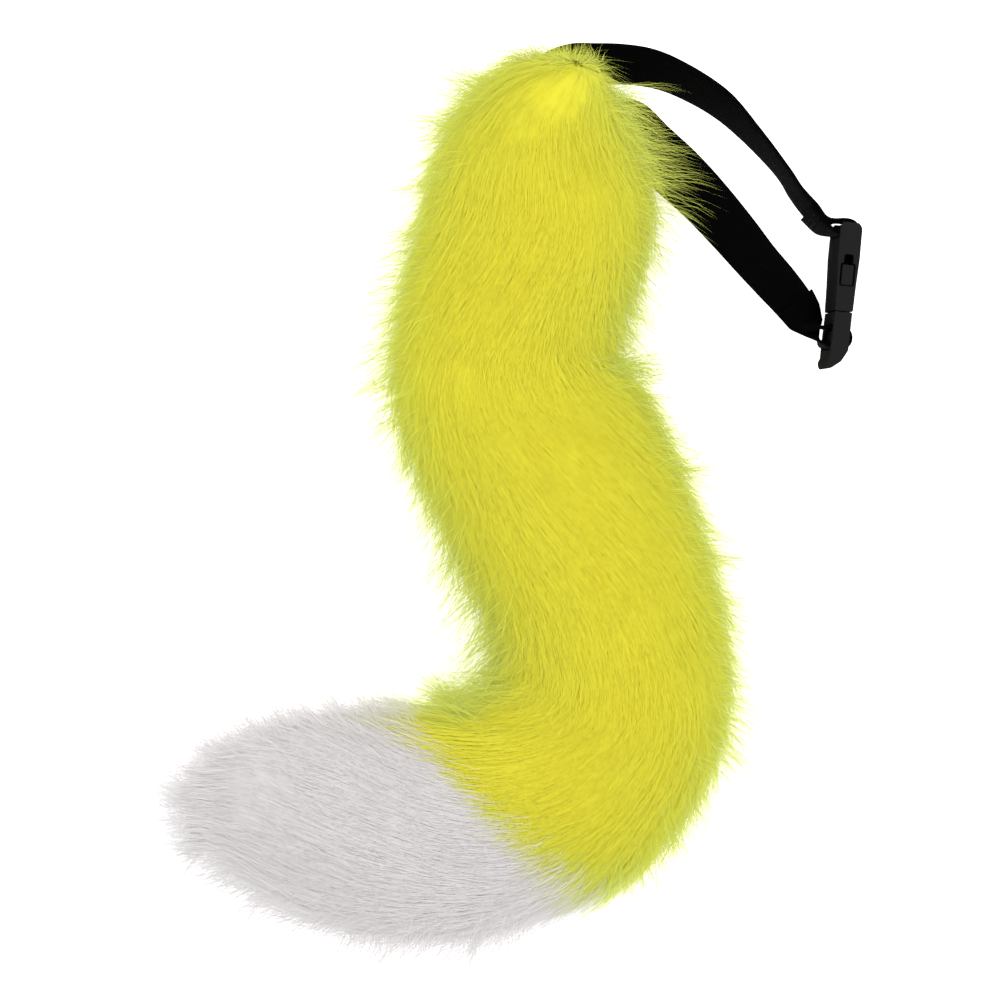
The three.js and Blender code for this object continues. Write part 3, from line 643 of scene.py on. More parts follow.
def grow(seed, count, start, end):
    """Hairs from start to end along the tail, as four curve points each, with their facing."""
    rng = np.random.default_rng(seed)
    t, turn = root_places(rng, count, start, end)
    cell = read_grid(t, turn)
    root, onward, side, out = cell[:, 0:3], unit(cell[:, 3:6]), unit(cell[:, 6:9]), unit(cell[:, 9:12])
    top = np.clip(out[:, 2], 0, 1)
    standing = rng.random(count) < STANDING_AT_SIDES + (STANDING_ON_TOP - STANDING_AT_SIDES) * top
    onwards, sideways, number = tuft_of(t, turn, cell)
    tuft_rng = np.random.default_rng(12)
    tuft_lean = tuft_rng.normal(0, TUFT_WAY, TUFT_NUMBERS)[number]
    tuft_lift = tuft_rng.uniform(*TUFT_LIFTS, TUFT_NUMBERS)[number]
    tuft_shade = tuft_rng.normal(0, 1, TUFT_NUMBERS)[number]
    splay = SPLAY * np.clip((turn - 0.25) / 0.25, -1.4, 1.4)
    waves = smooth_noise(7, t, turn, *WAVE_CELLS) * WAVES
    swirl = splay + waves + tuft_lean + rng.normal(0, OWN_WAY, count)

    # How long each hair is, and which way it heads
    combed = lengths(rng, COMBED, count)
    stood = lengths(rng, STANDING, count)
    near_seam = np.clip((t - SEAM + SEAM_BAND) / SEAM_BAND, 0, 1) * (t <= SEAM)
    leftward = np.clip(turn * 2, 0, 1)
    over_seam = SEAM_HAIR_RIGHT + (SEAM_HAIR_LEFT - SEAM_HAIR_RIGHT) * leftward
    long = np.where(standing, stood, combed) * (1 + near_seam * (over_seam - 1))
    reach = long * np.where(standing, STANDING["reach"], COMBED["reach"])
    heading = unit(onward + side * np.tan(swirl)[:, None])
    from_whorl = root - WHORL
    near = np.exp(-((np.linalg.norm(from_whorl, axis=1) / WHORL_REACH) ** 2))[:, None]
    radial = unit(from_whorl - out * (from_whorl * out).sum(1, keepdims=True))
    heading = unit(heading * (1 - near) + radial * near * WHORL_PULL)
    onward_part, side_part = (heading * onward).sum(1), (heading * side).sum(1)
    shorter = np.where(side_part < LEFTWARD, TURNED_LEFT_SHORTER, TURNED_SHORTER)
    kept = 1 - np.clip(-onward_part, 0, 1) * shorter
    long, reach = long * kept, reach * kept

    # The place on the tube that its end lies over, or how far past the tube's end it runs
    t_end = t + reach * onward_part / np.maximum(cell[:, 12], 0.05)
    turn_end = turn + reach * side_part / (np.maximum(cell[:, 13], 0.012) * 2 * math.pi)
    past = np.clip(np.maximum((t_end - END_FROM) / (1.0 - END_FROM), -t_end / ROOT_END), 0, 1)[:, None]
    there = read_grid(np.clip(t_end, 0, 1), np.clip(turn_end, LOWEST_TURN - 0.06, HIGHEST_TURN + 0.06))
    out_there = unit(there[:, 9:12])

    # Its end: drawn to its tuft, and lifted off the pile by as much as its kind is
    gather = by_kind(rng, standing, "gather")
    drawn = gather * (side * sideways[:, None] + onward * (onwards * 0.4)[:, None])
    skim = PILE_RAISED + rng.uniform(SKIM_LOW, SKIM_HIGH, count)
    top_lift = STANDING_LIFT_SIDE + (STANDING_LIFT_TOP - STANDING_LIFT_SIDE) * top
    stand = PILE_RAISED + top_lift * tuft_lift * rng.uniform(*OWN_LIFTS, count)
    lift = np.where(standing, stand, skim)[:, None]
    followed = there[:, 0:3] + out_there * lift + drawn
    fan = by_kind(rng, standing, "fan")
    base = root + out * (PILE_RAISED - ROOT_DEPTH)
    beyond_end = np.where(standing, STANDING["beyond_end"], COMBED["beyond_end"])
    straight = base + unit(heading + out * fan) * (long * beyond_end)[:, None]
    tip = followed * (1 - past) + straight * past

    # How it leaves the cloth, how it comes to lie, and its shade: painted light by how far it faces up, a
    # random tone of its tuft and its own, greener near the seam
    leave = unit(heading + out * by_kind(rng, standing, "steep"))
    sink = np.where(standing, STANDING["sink"], COMBED["sink"])[:, None]
    lie = unit(unit(tip - base) * 1.2 + heading * 0.5 - out_there * sink)
    facing = unit(out + out_there + SKYWARD)
    # Painted light: hairs facing up take the warm lit end of the ramp, those down the sides the painted
    # darker, greener end.
    shade = PAINTED_SIDE_SHADE + (PAINTED_TOP_LIGHT - PAINTED_SIDE_SHADE) * top
    shade = shade + TUFT_SHADE * tuft_shade + rng.normal(0, OWN_SHADE, count)
    return hair_curve(base, leave, lie, tip, long), facing, shade - SEAM_GREENER * near_seam**2, standing


print("whorl in mm:", np.round(WHORL / MM, 1))
print("combed hairs", COMBED["long"] / MM, "mm, standing hairs", STANDING["long"] / MM, "mm")

# %% [markdown]
# ## Wisps, and the hairs of the two rounded ends
# Single fine hairs stand well away from both sides of the tail. They are few, yet they are what makes
# plush look soft against a pale floor. The two closed ends of the tube have no sides, so their hairs
# fan out from a dome. Both kinds are simple curves that droop a little under their own weight.

# %% Grow wisps and end hairs
WISP_LONG, WISP_BAND, WISP_FROM = 47 * MM, 0.05, 0.055
WISP_ANGLE, WISP_STRAYS, WISP_OWN_WAY, WISP_STEEPER = math.radians(58), 0.28, 0.2, 0.35
WISP_DROOPS, END_DROOPS, END_OWN_WAY = (0.05, 0.35), (0.05, 0.4), 0.22
FLOOR_GAP = 0.3 * MM


def wisps(seed, count, start, end, shares, own_shade):
    """Fine hairs that stand away from both sides; their lengths on the right and left are in "shares"."""
    rng = np.random.default_rng(seed)
    t = rng.uniform(max(start, WISP_FROM), end, count)
    turn = np.where(rng.random(count) < 0.5, 0.0, 0.5) + rng.normal(0, WISP_BAND, count)
    cell = read_grid(t, turn)
    root, onward, out = cell[:, 0:3], unit(cell[:, 3:6]), unit(cell[:, 9:12])
    stray = smooth_noise(9, t, turn, *STRAY_CELLS)
    angle = WISP_ANGLE + WISP_STRAYS * stray + rng.normal(0, WISP_OWN_WAY, count)
    longest = WISP_LONG * np.where(turn > 0.25, shares[1], shares[0])
    long = longest * (0.25 + 0.75 * rng.random(count) ** 1.3) * (1 + 0.25 * stray)
    way = unit(onward * np.cos(angle)[:, None] + out * [1, 1, 0.5] * np.sin(angle)[:, None])
    steeper = angle + WISP_STEEPER
    leave = unit(onward * np.cos(steeper)[:, None] + out * np.sin(steeper)[:, None])
    base = root + out * (PILE_RAISED - ROOT_DEPTH)
    tip = base + way * long[:, None]
    tip[:, 2] -= long * rng.uniform(*WISP_DROOPS, count)
    lie = unit(way + onward * 0.5 + [0, 0, -0.3])
    facing = unit(out + SKYWARD)
    # For the yellow wisps own_shade is the sides' end of the ramp: painted green glow of hairs lit through.
    shade = own_shade + rng.normal(0, 0.05, count)
    return hair_curve(base, leave, lie, tip, long), facing, shade, np.ones(count, bool)


def end_hairs(seed, count, t, ahead_sign, dome, share):
    """Hairs that radiate from the rounded end of the tube at t."""
    rng = np.random.default_rng(seed)
    angle = rng.uniform(LOWEST_TURN, HIGHEST_TURN, count) * 2 * math.pi
    filled = np.sqrt(rng.random(count)) * 0.98
    bulge = np.sqrt(1 - filled**2)[:, None]
    ahead = onward_at(t) * ahead_sign
    at = np.full(count, t)
    centre = tube_point(at, angle, filled=0.0)
    disc = tube_point(at, angle, PILE_RAISED - ROOT_DEPTH)
    disc = centre + (disc - centre) * filled[:, None]
    radial = unit(disc - centre)
    base = disc + ahead * dome * bulge
    base[:, 2] = np.maximum(base[:, 2], FLOOR_GAP)
    out = unit(radial * filled[:, None] + ahead * bulge)
    long = STANDING["long"] * share * rng.normal(1, 0.25, count).clip(0.4, 1.5)
    way = unit(out * 0.55 + ahead * 0.6 + rng.normal(0, END_OWN_WAY, (count, 3)))
    tip = base + way * long[:, None]
    tip[:, 2] -= long * rng.uniform(*END_DROOPS, count)
    lie = unit(tip - base - out * 4 * MM)
    facing = unit(out + SKYWARD)
    # Painted light: tops lit, sides darker and greener, and these fringe hairs a little further towards the
    # sides' painted glow.
    shade = PAINTED_SIDE_SHADE + (PAINTED_TOP_LIGHT - PAINTED_SIDE_SHADE) * out[:, 2].clip(0, 1) - 0.1 + rng.normal(0, 0.06, count)
    return hair_curve(base, way, lie, tip, long), facing, shade, np.ones(count, bool)


def together(*groups):
    return tuple(np.concatenate(each) for each in zip(*groups))


print("wisps up to", WISP_LONG / MM, "mm")

# %% [markdown]
# ## Hairs as narrow ribbons
# A round hair would need eight sides and a million more triangles. A flat ribbon that faces outwards
# looks the same from where one stands, narrows to a point, and costs five triangles. Its corners borrow
# part of the cloth's own direction for shading, so the fur is lit softly, as one surface.

# %% Turn curves into ribbons
STEPS = np.array([0.0, 0.36, 0.70, 1.0])
WIDTHS = np.array([0.9, 1.0, 0.7, 0.0])
CLOTH_SHARE = 0.97
COMBED_WIDE = 0.32 * MM
STANDING_WIDE = 0.165 * MM
ROLL = 0.75
FLOOR_SPREAD = 2 * MM


def bezier(controls, s):
    a, b, c, d = (controls[:, i] for i in range(4))
    place = (1 - s) ** 3 * a + 3 * (1 - s) ** 2 * s * b + 3 * (1 - s) * s**2 * c + s**3 * d
    way = 3 * (1 - s) ** 2 * (b - a) + 6 * (1 - s) * s * (c - b) + 3 * s**2 * (d - c)
    return place, unit(way)


def ribbons(name, grown, material, seed):
    """One mesh of ribbons from grown hairs."""
    controls, facing, shade, standing = grown
    rng = np.random.default_rng(seed)
    count = len(controls)
    roll = rng.uniform(-ROLL, ROLL, count)[:, None]
    wide = np.where(standing, STANDING_WIDE, COMBED_WIDE)
    width = (wide * rng.uniform(0.75, 1.25, count))[:, None]
    corners, normals = [], []
    for step, share in zip(STEPS, WIDTHS):
        place, way = bezier(controls, step)
        place[:, 2] = np.maximum(place[:, 2], FLOOR_GAP + FLOOR_SPREAD * rng.random(count))
        flat = unit(np.cross(way, facing))
        lean = unit(flat * np.cos(roll) + np.cross(way, flat) * np.sin(roll))
        normal = unit(np.cross(lean, way) * (1 - CLOTH_SHARE) + facing * CLOTH_SHARE)
        if share == 0:
            corners.append(place[:, None])
            normals.append(normal[:, None])
        else:
            half = lean * width * share / 2
            corners.append(np.stack([place - half, place + half], 1))
            normals.append(np.stack([normal, normal], 1))
    points = np.concatenate(corners, 1).reshape(-1, 3)
    normals = np.concatenate(normals, 1).reshape(-1, 3)
    base = (np.arange(count) * 7)[:, None]
    quads = np.concatenate([base + [0, 1, 3, 2], base + [2, 3, 5, 4]], 1).reshape(-1, 4)
    tips = base + [4, 5, 6]
    corner_of = np.concatenate([quads.ravel(), tips.ravel()])
    sizes = np.concatenate([np.full(len(quads), 4), np.full(len(tips), 3)])
    mesh = bpy.data.meshes.new(name)
    mesh.vertices.add(len(points))
    mesh.vertices.foreach_set("co", points.astype(np.float32).ravel())
    mesh.loops.add(len(corner_of))
    mesh.loops.foreach_set("vertex_index", corner_of.astype(np.int32))
    mesh.polygons.add(len(sizes))
    mesh.polygons.foreach_set("loop_start", (np.cumsum(sizes) - sizes).astype(np.int32))
    mesh.update(calc_edges=True)
    mesh.polygons.foreach_set("use_smooth", np.ones(len(sizes), bool))
    shade = np.clip(shade, 0.02, 0.98)[:, None]
    u = shade + np.array([-1, 1, -1, 1, -1, 1, 0]) * 0.01
    v = np.broadcast_to(STEPS[[0, 0, 1, 1, 2, 2, 3]], u.shape)
    uv = mesh.uv_layers.new(name=HAIR_MAP)
    uv.data.foreach_set("uv", np.stack([u, v], -1).reshape(-1, 2)[corner_of].astype(np.float32).ravel())
    mesh.normals_split_custom_set_from_vertices(normals.astype(np.float32))
    mesh.materials.append(material)
    made = add_object(name, mesh)
    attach(made, "root")
    print(name, count, "hairs,", 5 * count, "triangles")
    return made


# %% [markdown]
# ## The yellow fur
# The yellow stretch is split into three pieces from the root to the seam, so that no mesh grows too
# heavy. Hairs rooted just before the seam lie over the pale cloth, which makes the ragged border that
# one sees instead of a stitched line. The root end gets a small crown of short hairs over its sewn
# opening, with more round the whorl.

# %% Yellow fur in three stretches
YELLOW_HAIRS = 30_000
YELLOW_WISPS = 3_200
CROWN_HAIRS = 1_200
YELLOW_WISP_SHARES = (0.95, 1.1)
CROWN_UNTIL, CROWN_SHARE = 0.05, 0.3
YELLOW_CUTS = (0.0, SEAM * 0.36, SEAM * 0.68, SEAM)
YELLOW_NAMES = ("fur_root", "fur_middle", "fur_bend")

for part, (name, start, end) in enumerate(zip(YELLOW_NAMES, YELLOW_CUTS[:-1], YELLOW_CUTS[1:])):
    grown = together(
        grow(20 + part, YELLOW_HAIRS, start, end),
        wisps(40 + part, YELLOW_WISPS, start, end, YELLOW_WISP_SHARES, PAINTED_SIDE_SHADE),
    )
    if part == 0:
        crown = end_hairs(27, CROWN_HAIRS, 0.0, -1, DOME_ROOT, CROWN_SHARE)
        grown = together(grown, crown, grow(28, CROWN_HAIRS, 0.0, CROWN_UNTIL))
    fur = ribbons(name, grown, yellow_fur, 30 + part)
    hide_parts("tail_body")

# %% [markdown]
# ## The pale tip
# The same pile in undyed fibre. Towards its end the hairs fan out instead of lying down, because there
# is no more tube for them to lie on.

# %% Pale fur
PALE_HAIRS = 30_000
PALE_WISPS = 3_400
TIP_END_HAIRS = 600
PALE_WISPS_FROM = SEAM + 0.05
PALE_WISP_SHARES, PALE_WISP_SHADE, TIP_END_SHARE = (1.5, 0.85), 0.95, 0.8

grown = together(
    grow(24, PALE_HAIRS, SEAM, 1.0),
    wisps(44, PALE_WISPS, PALE_WISPS_FROM, 1.0, PALE_WISP_SHARES, PALE_WISP_SHADE),
    end_hairs(29, TIP_END_HAIRS, 1.0, 1, DOME_TIP, TIP_END_SHARE),
)
fur_tip = ribbons("fur_tip", grown, pale_fur, 34)
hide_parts("tail_tip")

# %% [markdown]
# ## Webbing and buckle finishes
# Polyester webbing is woven in fine ribs along its length, crossed by the picks of the weft, and takes
# almost no light. Its map is in metres, so that ribs and picks have their real size. The buckle is
# moulded acetal, nearly black and matt, with a fine grain.

# %% Belt materials
WEBBING_MAP = "webbing_map"
RIB_PITCH, PICK_PITCH = 1.6 * MM, 0.9 * MM
WAVE_PERIOD = 2 * math.pi / 20
WEBBING_SHADES = [(0.0, (0.0008, 0.0008, 0.0008)), (1.0, (0.0035, 0.0035, 0.0038))]
THREAD_SHADES = [(0.3, (0.003, 0.003, 0.003)), (0.7, (0.008, 0.008, 0.009))]
PLASTIC_SHADES = [(0.1, (0.0125, 0.0125, 0.0129)), (0.5, (0.0185, 0.0185, 0.0190))]

webbing_cloth, _, add, link = new_material("black_polyester_webbing", 0.95, 0.02)
webbing_place = add("ShaderNodeUVMap", uv_map=WEBBING_MAP)
ribs = add("ShaderNodeTexWave", {"Scale": WAVE_PERIOD / RIB_PITCH}, bands_direction="Y")
picks = add("ShaderNodeTexWave", {"Scale": WAVE_PERIOD / PICK_PITCH}, bands_direction="X")
for wave in (ribs, picks):
    link(webbing_place.outputs["UV"], wave.inputs["Vector"])
weave = add("ShaderNodeMath", operation="MULTIPLY")
link(ribs.outputs["Fac"], weave.inputs[0])
link(picks.outputs["Fac"], weave.inputs[1])
colour_by(webbing_cloth, weave.outputs["Value"], WEBBING_SHADES)
bump_by(webbing_cloth, weave.outputs["Value"], 0.6, 0.3 * MM)

thread, _, add, link = new_material("black_thread", 0.7, 0.1)
thread_twist = add("ShaderNodeTexNoise", {"Scale": 4000.0, "Detail": 1.0})
colour_by(thread, thread_twist.outputs["Fac"], THREAD_SHADES)

buckle_plastic, plastic_shader, add, link = new_material("moulded_buckle_plastic", 0.5, 0.0)
plastic_grain = add("ShaderNodeTexNoise", {"Scale": 1400.0, "Detail": 3.0})
plastic_cloud = add("ShaderNodeTexNoise", {"Scale": 60.0, "Detail": 2.0})
plastic_mixed = add("ShaderNodeMath", operation="MULTIPLY")
link(plastic_grain.outputs["Fac"], plastic_mixed.inputs[0])
link(plastic_cloud.outputs["Fac"], plastic_mixed.inputs[1])
colour_by(buckle_plastic, plastic_mixed.outputs["Value"], PLASTIC_SHADES)
bump_by(buckle_plastic, plastic_grain.outputs["Fac"], 0.2, 0.2 * MM)
plastic_rough = add("ShaderNodeMapRange", {"To Min": 0.42, "To Max": 0.58})
link(plastic_cloud.outputs["Fac"], plastic_rough.inputs["Value"])
link(plastic_rough.outputs["Result"], plastic_shader.inputs["Roughness"])
print("belt materials:", webbing_cloth.name, thread.name, buckle_plastic.name)

# %% [markdown]
# ## The way the webbing goes
# One strap is sewn back round the socket's bar, runs along the floor to the root of the tail, turns
# inside it, comes back, and goes up and over the adjuster's bar, where a short free end lies along it.
# Its middle line follows a table of places, with the way its upper edge leans at each. A bevelled curve
# could carry such a strap, but it would choose its own twist.

# %% The webbing's route
WEBBING_WIDE, WEBBING_THICK = 38 * MM, 1.8 * MM
WEBBING_GAP, LAYER_GAP, OFF_FLOOR = 0.3 * MM, 0.7 * MM, 0.3 * MM
BUCKLE_WIDE = 50 * MM
SOCKET_LONG, SOCKET_THICK = 51 * MM, 12.6 * MM
ADJUSTER_THICK, BAR_THICK, SOCKET_BAR = 9.8 * MM, 4.8 * MM, 5.2 * MM
MATING_GAP, ADJUSTER_BAR, ADJUSTER_FRONT = 0.4 * MM, 7.4 * MM, 7.4 * MM
SLOT_SPARE, OVER_GAP, UNDER_BY = 1.1 * MM, 0.2 * MM, 1.6 * MM
BUCKLE_AT = 0.849, 0.2215
BUCKLE_HEADING, BUCKLE_LEAN = math.radians(-95.4), math.radians(3.5)
UP = np.array([0.0, 0.0, 1.0])

# across and down the square, rise as a share of the width, lean and facing in degrees
BELT_ROWS = np.array([
    (0.823, 0.226, 0.16, 9, 60),
    (0.808, 0.212, 0.13, 11, 46),
    (0.794, 0.193, 0.09, 9, 40),
    (0.783, 0.174, 0.04, 8, 37),
    (0.749, 0.137, 0.00, 13, 45),
    (0.715, 0.109, 0.00, 21, 56),
    (0.671, 0.086, 0.00, 26, 67),
    (0.645, 0.079, 0.00, 30, 78),
    (0.620, 0.077, 0.00, 32, 87),
    (0.598, 0.078, 0.00, 34, 95),
    (0.583, 0.079, 0.00, 37, 110),
    (0.575, 0.082, 0.00, 42, 138),
    (0.572, 0.087, 0.00, 48, 168),
    (0.575, 0.092, 0.00, 54, 194),
    (0.583, 0.095, 0.00, 57, 210),
    (0.603, 0.094, 0.00, 60, 219),
    (0.624, 0.091, 0.00, 63, 223),
    (0.645, 0.097, 0.00, 65, 225),
    (0.673, 0.123, 0.00, 64, 225),
    (0.699, 0.147, 0.00, 61, 225),
    (0.728, 0.179, 0.00, 55, 221),
    (0.757, 0.215, 0.00, 50, 218),
    (0.777, 0.242, 0.02, 46, 218),
    (0.797, 0.266, 0.04, 44, 218),
    (0.813, 0.288, 0.07, 40, 219),
    (0.820, 0.303, 0.10, 35, 219),
    (0.823, 0.320, 0.14, 22, 212),
])

along_buckle = np.array([math.cos(BUCKLE_HEADING), math.sin(BUCKLE_HEADING), 0.0])
outside = np.cross(UP, along_buckle)
wide_buckle = UP * math.cos(BUCKLE_LEAN) + outside * math.sin(BUCKLE_LEAN)
through_buckle = outside * math.cos(BUCKLE_LEAN) - UP * math.sin(BUCKLE_LEAN)
buckle_high = BUCKLE_WIDE / 2 * math.cos(BUCKLE_LEAN) + SOCKET_THICK / 2 * math.sin(BUCKLE_LEAN)
buckle_start = np.append(on_floor(BUCKLE_AT)[0], buckle_high)


def buckle_knot(along, through):
    """The webbing's middle and its width's direction, at a place of the buckle."""
    return buckle_start + along_buckle * along + through_buckle * through, wide_buckle


def strand_knots():
    knots = []
    for across, down, rise, lean, facing in BELT_ROWS:
        lean, facing = math.radians(lean), math.radians(facing)
        axis = np.array([math.cos(facing), math.sin(facing), 0]) * math.sin(lean) + UP * math.cos(lean)
        high = OFF_FLOOR + rise * WEBBING_WIDE + WEBBING_THICK / 2 * math.sin(lean)
        knots.append((np.append(on_floor((across, down))[0], high) + axis * WEBBING_WIDE / 2, axis))
    return knots


def doubled_back(knots):
    """The same knots one layer further in."""
    moved = []
    for i, (middle, axis) in enumerate(knots):
        onward = knots[min(i + 1, len(knots) - 1)][0] - knots[max(i - 1, 0)][0]
        inward = np.cross(axis, onward)
        moved.append((middle + inward / np.linalg.norm(inward) * (WEBBING_THICK + LAYER_GAP), axis))
    return moved


def webbing_knots():
    strand = strand_knots()
    wrap = BAR_THICK / 2 + WEBBING_GAP + WEBBING_THICK / 2
    bar_at = SOCKET_BAR / 2
    bar_off = SOCKET_BAR / 2 + WEBBING_GAP + WEBBING_THICK / 2
    round_bar = [(bar_at + bar_off + 0.3 * MM, -wrap * 1.6), (bar_at + bar_off, 0)]
    round_bar += [(bar_at + wrap * 0.6, wrap * 0.85), (bar_at, wrap), (bar_at - wrap * 0.6, wrap * 0.85)]
    round_bar += [(bar_at - bar_off, 0), (bar_at - bar_off, -wrap * 1.6)]
    slot_long = WEBBING_THICK + 2 * WEBBING_GAP + SLOT_SPARE
    adjuster_at = SOCKET_LONG + MATING_GAP + ADJUSTER_FRONT + slot_long + ADJUSTER_BAR / 2
    over = ADJUSTER_THICK / 2 + WEBBING_THICK / 2 + OVER_GAP
    off = ADJUSTER_BAR / 2 + slot_long / 2
    under = -ADJUSTER_THICK / 2 - UNDER_BY
    over_bar = [(adjuster_at + off - 0.6 * MM, under), (adjuster_at + off, 0)]
    over_bar += [(adjuster_at + off * 0.82, over * 0.72), (adjuster_at + off * 0.35, over)]
    over_bar += [(adjuster_at - off * 0.35, over), (adjuster_at - off * 0.82, over * 0.72)]
    over_bar += [(adjuster_at - off, 0), (adjuster_at - off - 0.4 * MM, under)]
    sewn_back = doubled_back(strand[:3])[:2][::-1]
    free_end = doubled_back(strand[-4:])[1:][::-1]
    at_socket = [buckle_knot(*place) for place in round_bar]
    at_adjuster = [buckle_knot(*place) for place in over_bar]
    return [*sewn_back, *at_socket, *strand, *at_adjuster, *free_end]


def centripetal(points, steps):
    """A centripetal curve through the points, which never loops at a close pair, and its directions."""
    padded = np.vstack([2 * points[0] - points[1], points, 2 * points[-1] - points[-2]])
    gaps = np.maximum(np.linalg.norm(np.diff(padded, axis=0), axis=1) ** 0.5, 1e-5)
    places, ways = [], []
    for i in range(len(points) - 1):
        a, b, c, d = padded[i : i + 4]
        before, here, after = gaps[i : i + 3]
        start = ((b - a) / before - (c - a) / (before + here) + (c - b) / here) * here
        end = ((c - b) / here - (d - b) / (here + after) + (d - c) / after) * here
        f = (np.arange(steps) / steps if i < len(points) - 2 else np.linspace(0, 1, steps + 1))[:, None]
        cubic, square = 2 * b - 2 * c + start + end, -3 * b + 3 * c - 2 * start - end
        places.append(b + start * f + square * f**2 + cubic * f**3)
        ways.append(start + 2 * square * f + 3 * cubic * f**2)
    return np.vstack(places), unit(np.vstack(ways))


WEBBING_STEPS = 9
belt_knots = webbing_knots()
ROUTE, ROUTE_WAYS = centripetal(np.array([k[0] for k in belt_knots]), WEBBING_STEPS)
WIDE_WAYS = unit(centripetal(np.array([k[1] for k in belt_knots]), WEBBING_STEPS)[0])
FACE_WAYS = unit(np.cross(ROUTE_WAYS, WIDE_WAYS))
ROUTE_AT = np.append(0, np.cumsum(np.linalg.norm(np.diff(ROUTE, axis=0), axis=1)))
print("webbing length in mm:", round(ROUTE_AT[-1] / MM))

# %% [markdown]
# ## The webbing itself
# A flat band with rounded edges, drawn along the route. The profile is a list of points round the
# band, and each station of the route places it with its own width and face directions.

# %% Weave the band
EDGE_POINTS, FACE_POINTS = 5, 4
half_wide, half_thick = WEBBING_WIDE / 2, WEBBING_THICK / 2

edge = np.linspace(-math.pi / 2, math.pi / 2, EDGE_POINTS)
one_edge = np.column_stack([np.sin(edge) * half_thick, half_wide - half_thick + np.cos(edge) * half_thick])
across_face = np.linspace(half_wide - half_thick, half_thick - half_wide, FACE_POINTS + 2)[1:-1]
one_face = np.column_stack([np.full(FACE_POINTS, half_thick), across_face])
half_profile = np.vstack([one_edge, one_face])
profile = np.vstack([half_profile, -half_profile])
stations, ring = len(ROUTE), len(profile)
band = (
    ROUTE[:, None]
    + FACE_WAYS[:, None] * profile[None, :, :1]
    + WIDE_WAYS[:, None] * profile[None, :, 1:]
)
index = np.arange(stations * ring).reshape(stations, ring)
turned = np.roll(index, -1, axis=1)
band_quads = np.stack([index[:-1], index[1:], turned[1:], turned[:-1]], -1).reshape(-1, 4)
band_ends = [list(index[0]), list(index[-1][::-1])]
belt_webbing = mesh_object("belt_webbing", band.reshape(-1, 3), [*band_quads, *band_ends], webbing_cloth)

closed_profile = np.vstack([profile, profile[:1]])
round_profile = np.append(0, np.cumsum(np.linalg.norm(np.diff(closed_profile, axis=0), axis=1)))
u, v = np.meshgrid(ROUTE_AT, round_profile, indexing="ij")
uv_grid = np.stack([u, v], -1)
band_corners = [uv_grid[:-1, :-1], uv_grid[1:, :-1], uv_grid[1:, 1:], uv_grid[:-1, 1:]]
band_uv = np.stack(band_corners, 2).reshape(-1, 2)
end_uv = np.vstack([profile, profile[::-1]])
webbing_uv = belt_webbing.data.uv_layers.new(name=WEBBING_MAP)
webbing_uv.data.foreach_set("uv", np.vstack([band_uv, end_uv]).astype(np.float32).ravel())
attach(belt_webbing, "root")
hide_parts("belt_strap")
print("webbing faces:", len(belt_webbing.data.polygons))

# %% [markdown]
# ## Stitches
# The end that is sewn back round the socket's bar is held by three rows of lockstitch across both
# layers. Each stitch is a short thread that dips into the cloth at both ends, so it is a bent, tapered
# little rod, and all of them make one mesh.

# %% Sew the webbing
STITCH_ROWS = 3
STITCH_PITCH, STITCH_LONG, STITCH_THICK = 3.4 * MM, 2.6 * MM, 0.55 * MM
ROW_PITCH, FIRST_ROW = 3.2 * MM, 4.0 * MM
STITCH_SIDES, STITCH_RINGS = 6, 5
STITCH_MARGINS = 6 * MM
KNOTS_BEFORE_STRAND = 9
STRAND_START = KNOTS_BEFORE_STRAND * WEBBING_STEPS


def on_webbing(at, across, face):
    """A place on one face of the webbing, at a length along it and a distance across it."""
    middle, wide, out = (
        np.array([np.interp(at, ROUTE_AT, each[:, k]) for k in range(3)])
        for each in (ROUTE, WIDE_WAYS, FACE_WAYS)
    )
    return middle + wide * across + out * half_thick * face, wide, out * face


def stitch(centre, along, out):
    side = np.cross(along, out)
    bend = np.linspace(-1, 1, STITCH_RINGS)
    points = []
    for b in bend:
        thick = STITCH_THICK / 2 * math.sqrt(max(1 - b * b * 0.8, 0))
        middle = centre + along * b * STITCH_LONG / 2 + out * STITCH_THICK * (0.35 - 0.7 * b * b)
        for a in np.arange(STITCH_SIDES) / STITCH_SIDES * 2 * math.pi:
            points.append(middle + side * math.cos(a) * thick + out * math.sin(a) * thick)
    return points


stitch_points, stitch_faces = [], []
stitches_across = int((WEBBING_WIDE - STITCH_MARGINS) / STITCH_PITCH)
for layer, face in ((0, 1), (0, -1), (1, 1), (1, -1)):
    for row in range(STITCH_ROWS):
        at = FIRST_ROW + row * ROW_PITCH
        if layer:
            at = ROUTE_AT[STRAND_START] + np.linalg.norm(ROUTE[WEBBING_STEPS] - ROUTE[0]) - at
        for k in range(stitches_across):
            centre, wide, out = on_webbing(at, (k - (stitches_across - 1) / 2) * STITCH_PITCH, face)
            first = len(stitch_points)
            stitch_points += stitch(centre, wide, out)
            for r in range(STITCH_RINGS - 1):
                for c in range(STITCH_SIDES):
                    d = (c + 1) % STITCH_SIDES
                    low, high = first + r * STITCH_SIDES, first + (r + 1) * STITCH_SIDES
                    stitch_faces.append((low + c, low + d, high + d, high + c))
            stitch_faces.append(tuple(first + c for c in reversed(range(STITCH_SIDES))))
            last = first + (STITCH_RINGS - 1) * STITCH_SIDES
            stitch_faces.append(tuple(last + c for c in range(STITCH_SIDES)))
belt_stitching = mesh_object("belt_stitching", stitch_points, stitch_faces, thread)
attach(belt_stitching, "root")
print("stitches:", len(stitch_points) // (STITCH_SIDES * STITCH_RINGS))

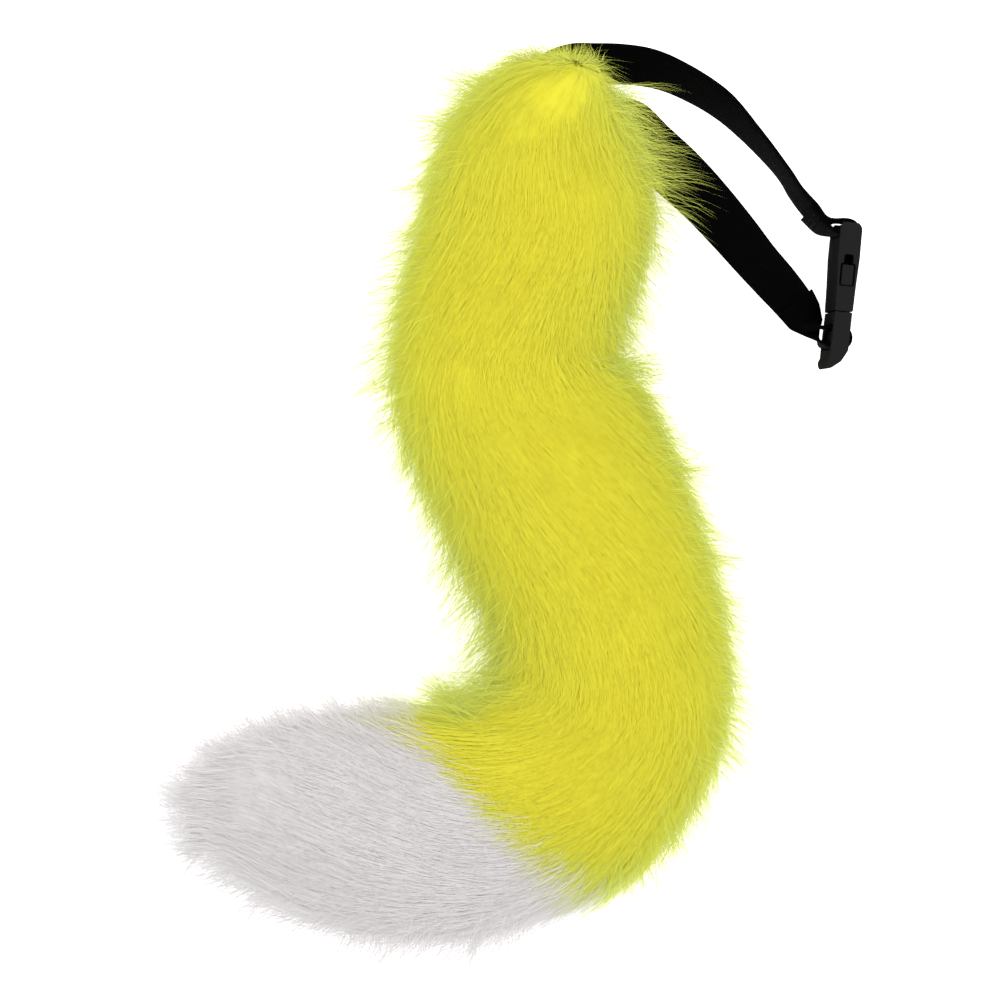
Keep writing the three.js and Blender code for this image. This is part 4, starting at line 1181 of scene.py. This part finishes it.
# %% [markdown]
# ## The buckle
# Both halves are moulded, so no edge of theirs is sharp. The frame's own solids have the right shape
# with hard edges. A copy of each is remeshed in small cells and smoothed a little, which rounds every
# edge and inner corner alike, as a mould does. A bevel would be lighter, but it stumbles where cut
# faces meet in slivers.

# %% Mould the buckle halves
BUCKLE_CELL = 0.5 * MM
BUCKLE_SMOOTHING = 3
BUCKLE_KEPT = 0.35


def moulded(name, node):
    """A rounded copy of a node of the frame."""
    made = add_object(name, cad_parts[node].data.copy())
    remesh = made.modifiers.new("cells", "REMESH")
    remesh.mode = "VOXEL"
    remesh.voxel_size = BUCKLE_CELL
    smooth = made.modifiers.new("rounding", "SMOOTH")
    smooth.factor = 0.5
    smooth.iterations = BUCKLE_SMOOTHING
    lighter = made.modifiers.new("lighter", "DECIMATE")
    lighter.ratio = BUCKLE_KEPT
    shaped = made.evaluated_get(bpy.context.evaluated_depsgraph_get())
    mesh = bpy.data.meshes.new_from_object(shaped)
    made.modifiers.clear()
    made.data = mesh
    mesh.materials.clear()
    mesh.materials.append(buckle_plastic)
    mesh.polygons.foreach_set("use_smooth", np.ones(len(mesh.polygons), bool))
    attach(made, "root")
    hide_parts(node)
    print(name, len(mesh.polygons), "faces")
    return made


buckle_socket = moulded("buckle_socket", "buckle_female")
buckle_prongs = moulded("buckle_prongs", "buckle_male")

# %% [markdown]
# ## The finished size
# Last, the dressed model is measured against the frame. Hair may stand a little proud of it, by a few
# per cent of each side and a centimetre, and no more.

# %% Measure and finish
ROOM_SHARE, ROOM_EXTRA = 0.03, 10 * MM

VISUAL_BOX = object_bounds()
for axis in range(3):
    side_long = CAD_BOX[1][axis] - CAD_BOX[0][axis]
    room = side_long * ROOM_SHARE + ROOM_EXTRA
    below, above = CAD_BOX[0][axis] - VISUAL_BOX[0][axis], VISUAL_BOX[1][axis] - CAD_BOX[1][axis]
    proud = [round(each / MM, 1) for each in (below, above, room)]
    print("XYZ"[axis], "proud by", proud[0], "and", proud[1], "of the allowed", proud[2], "mm")
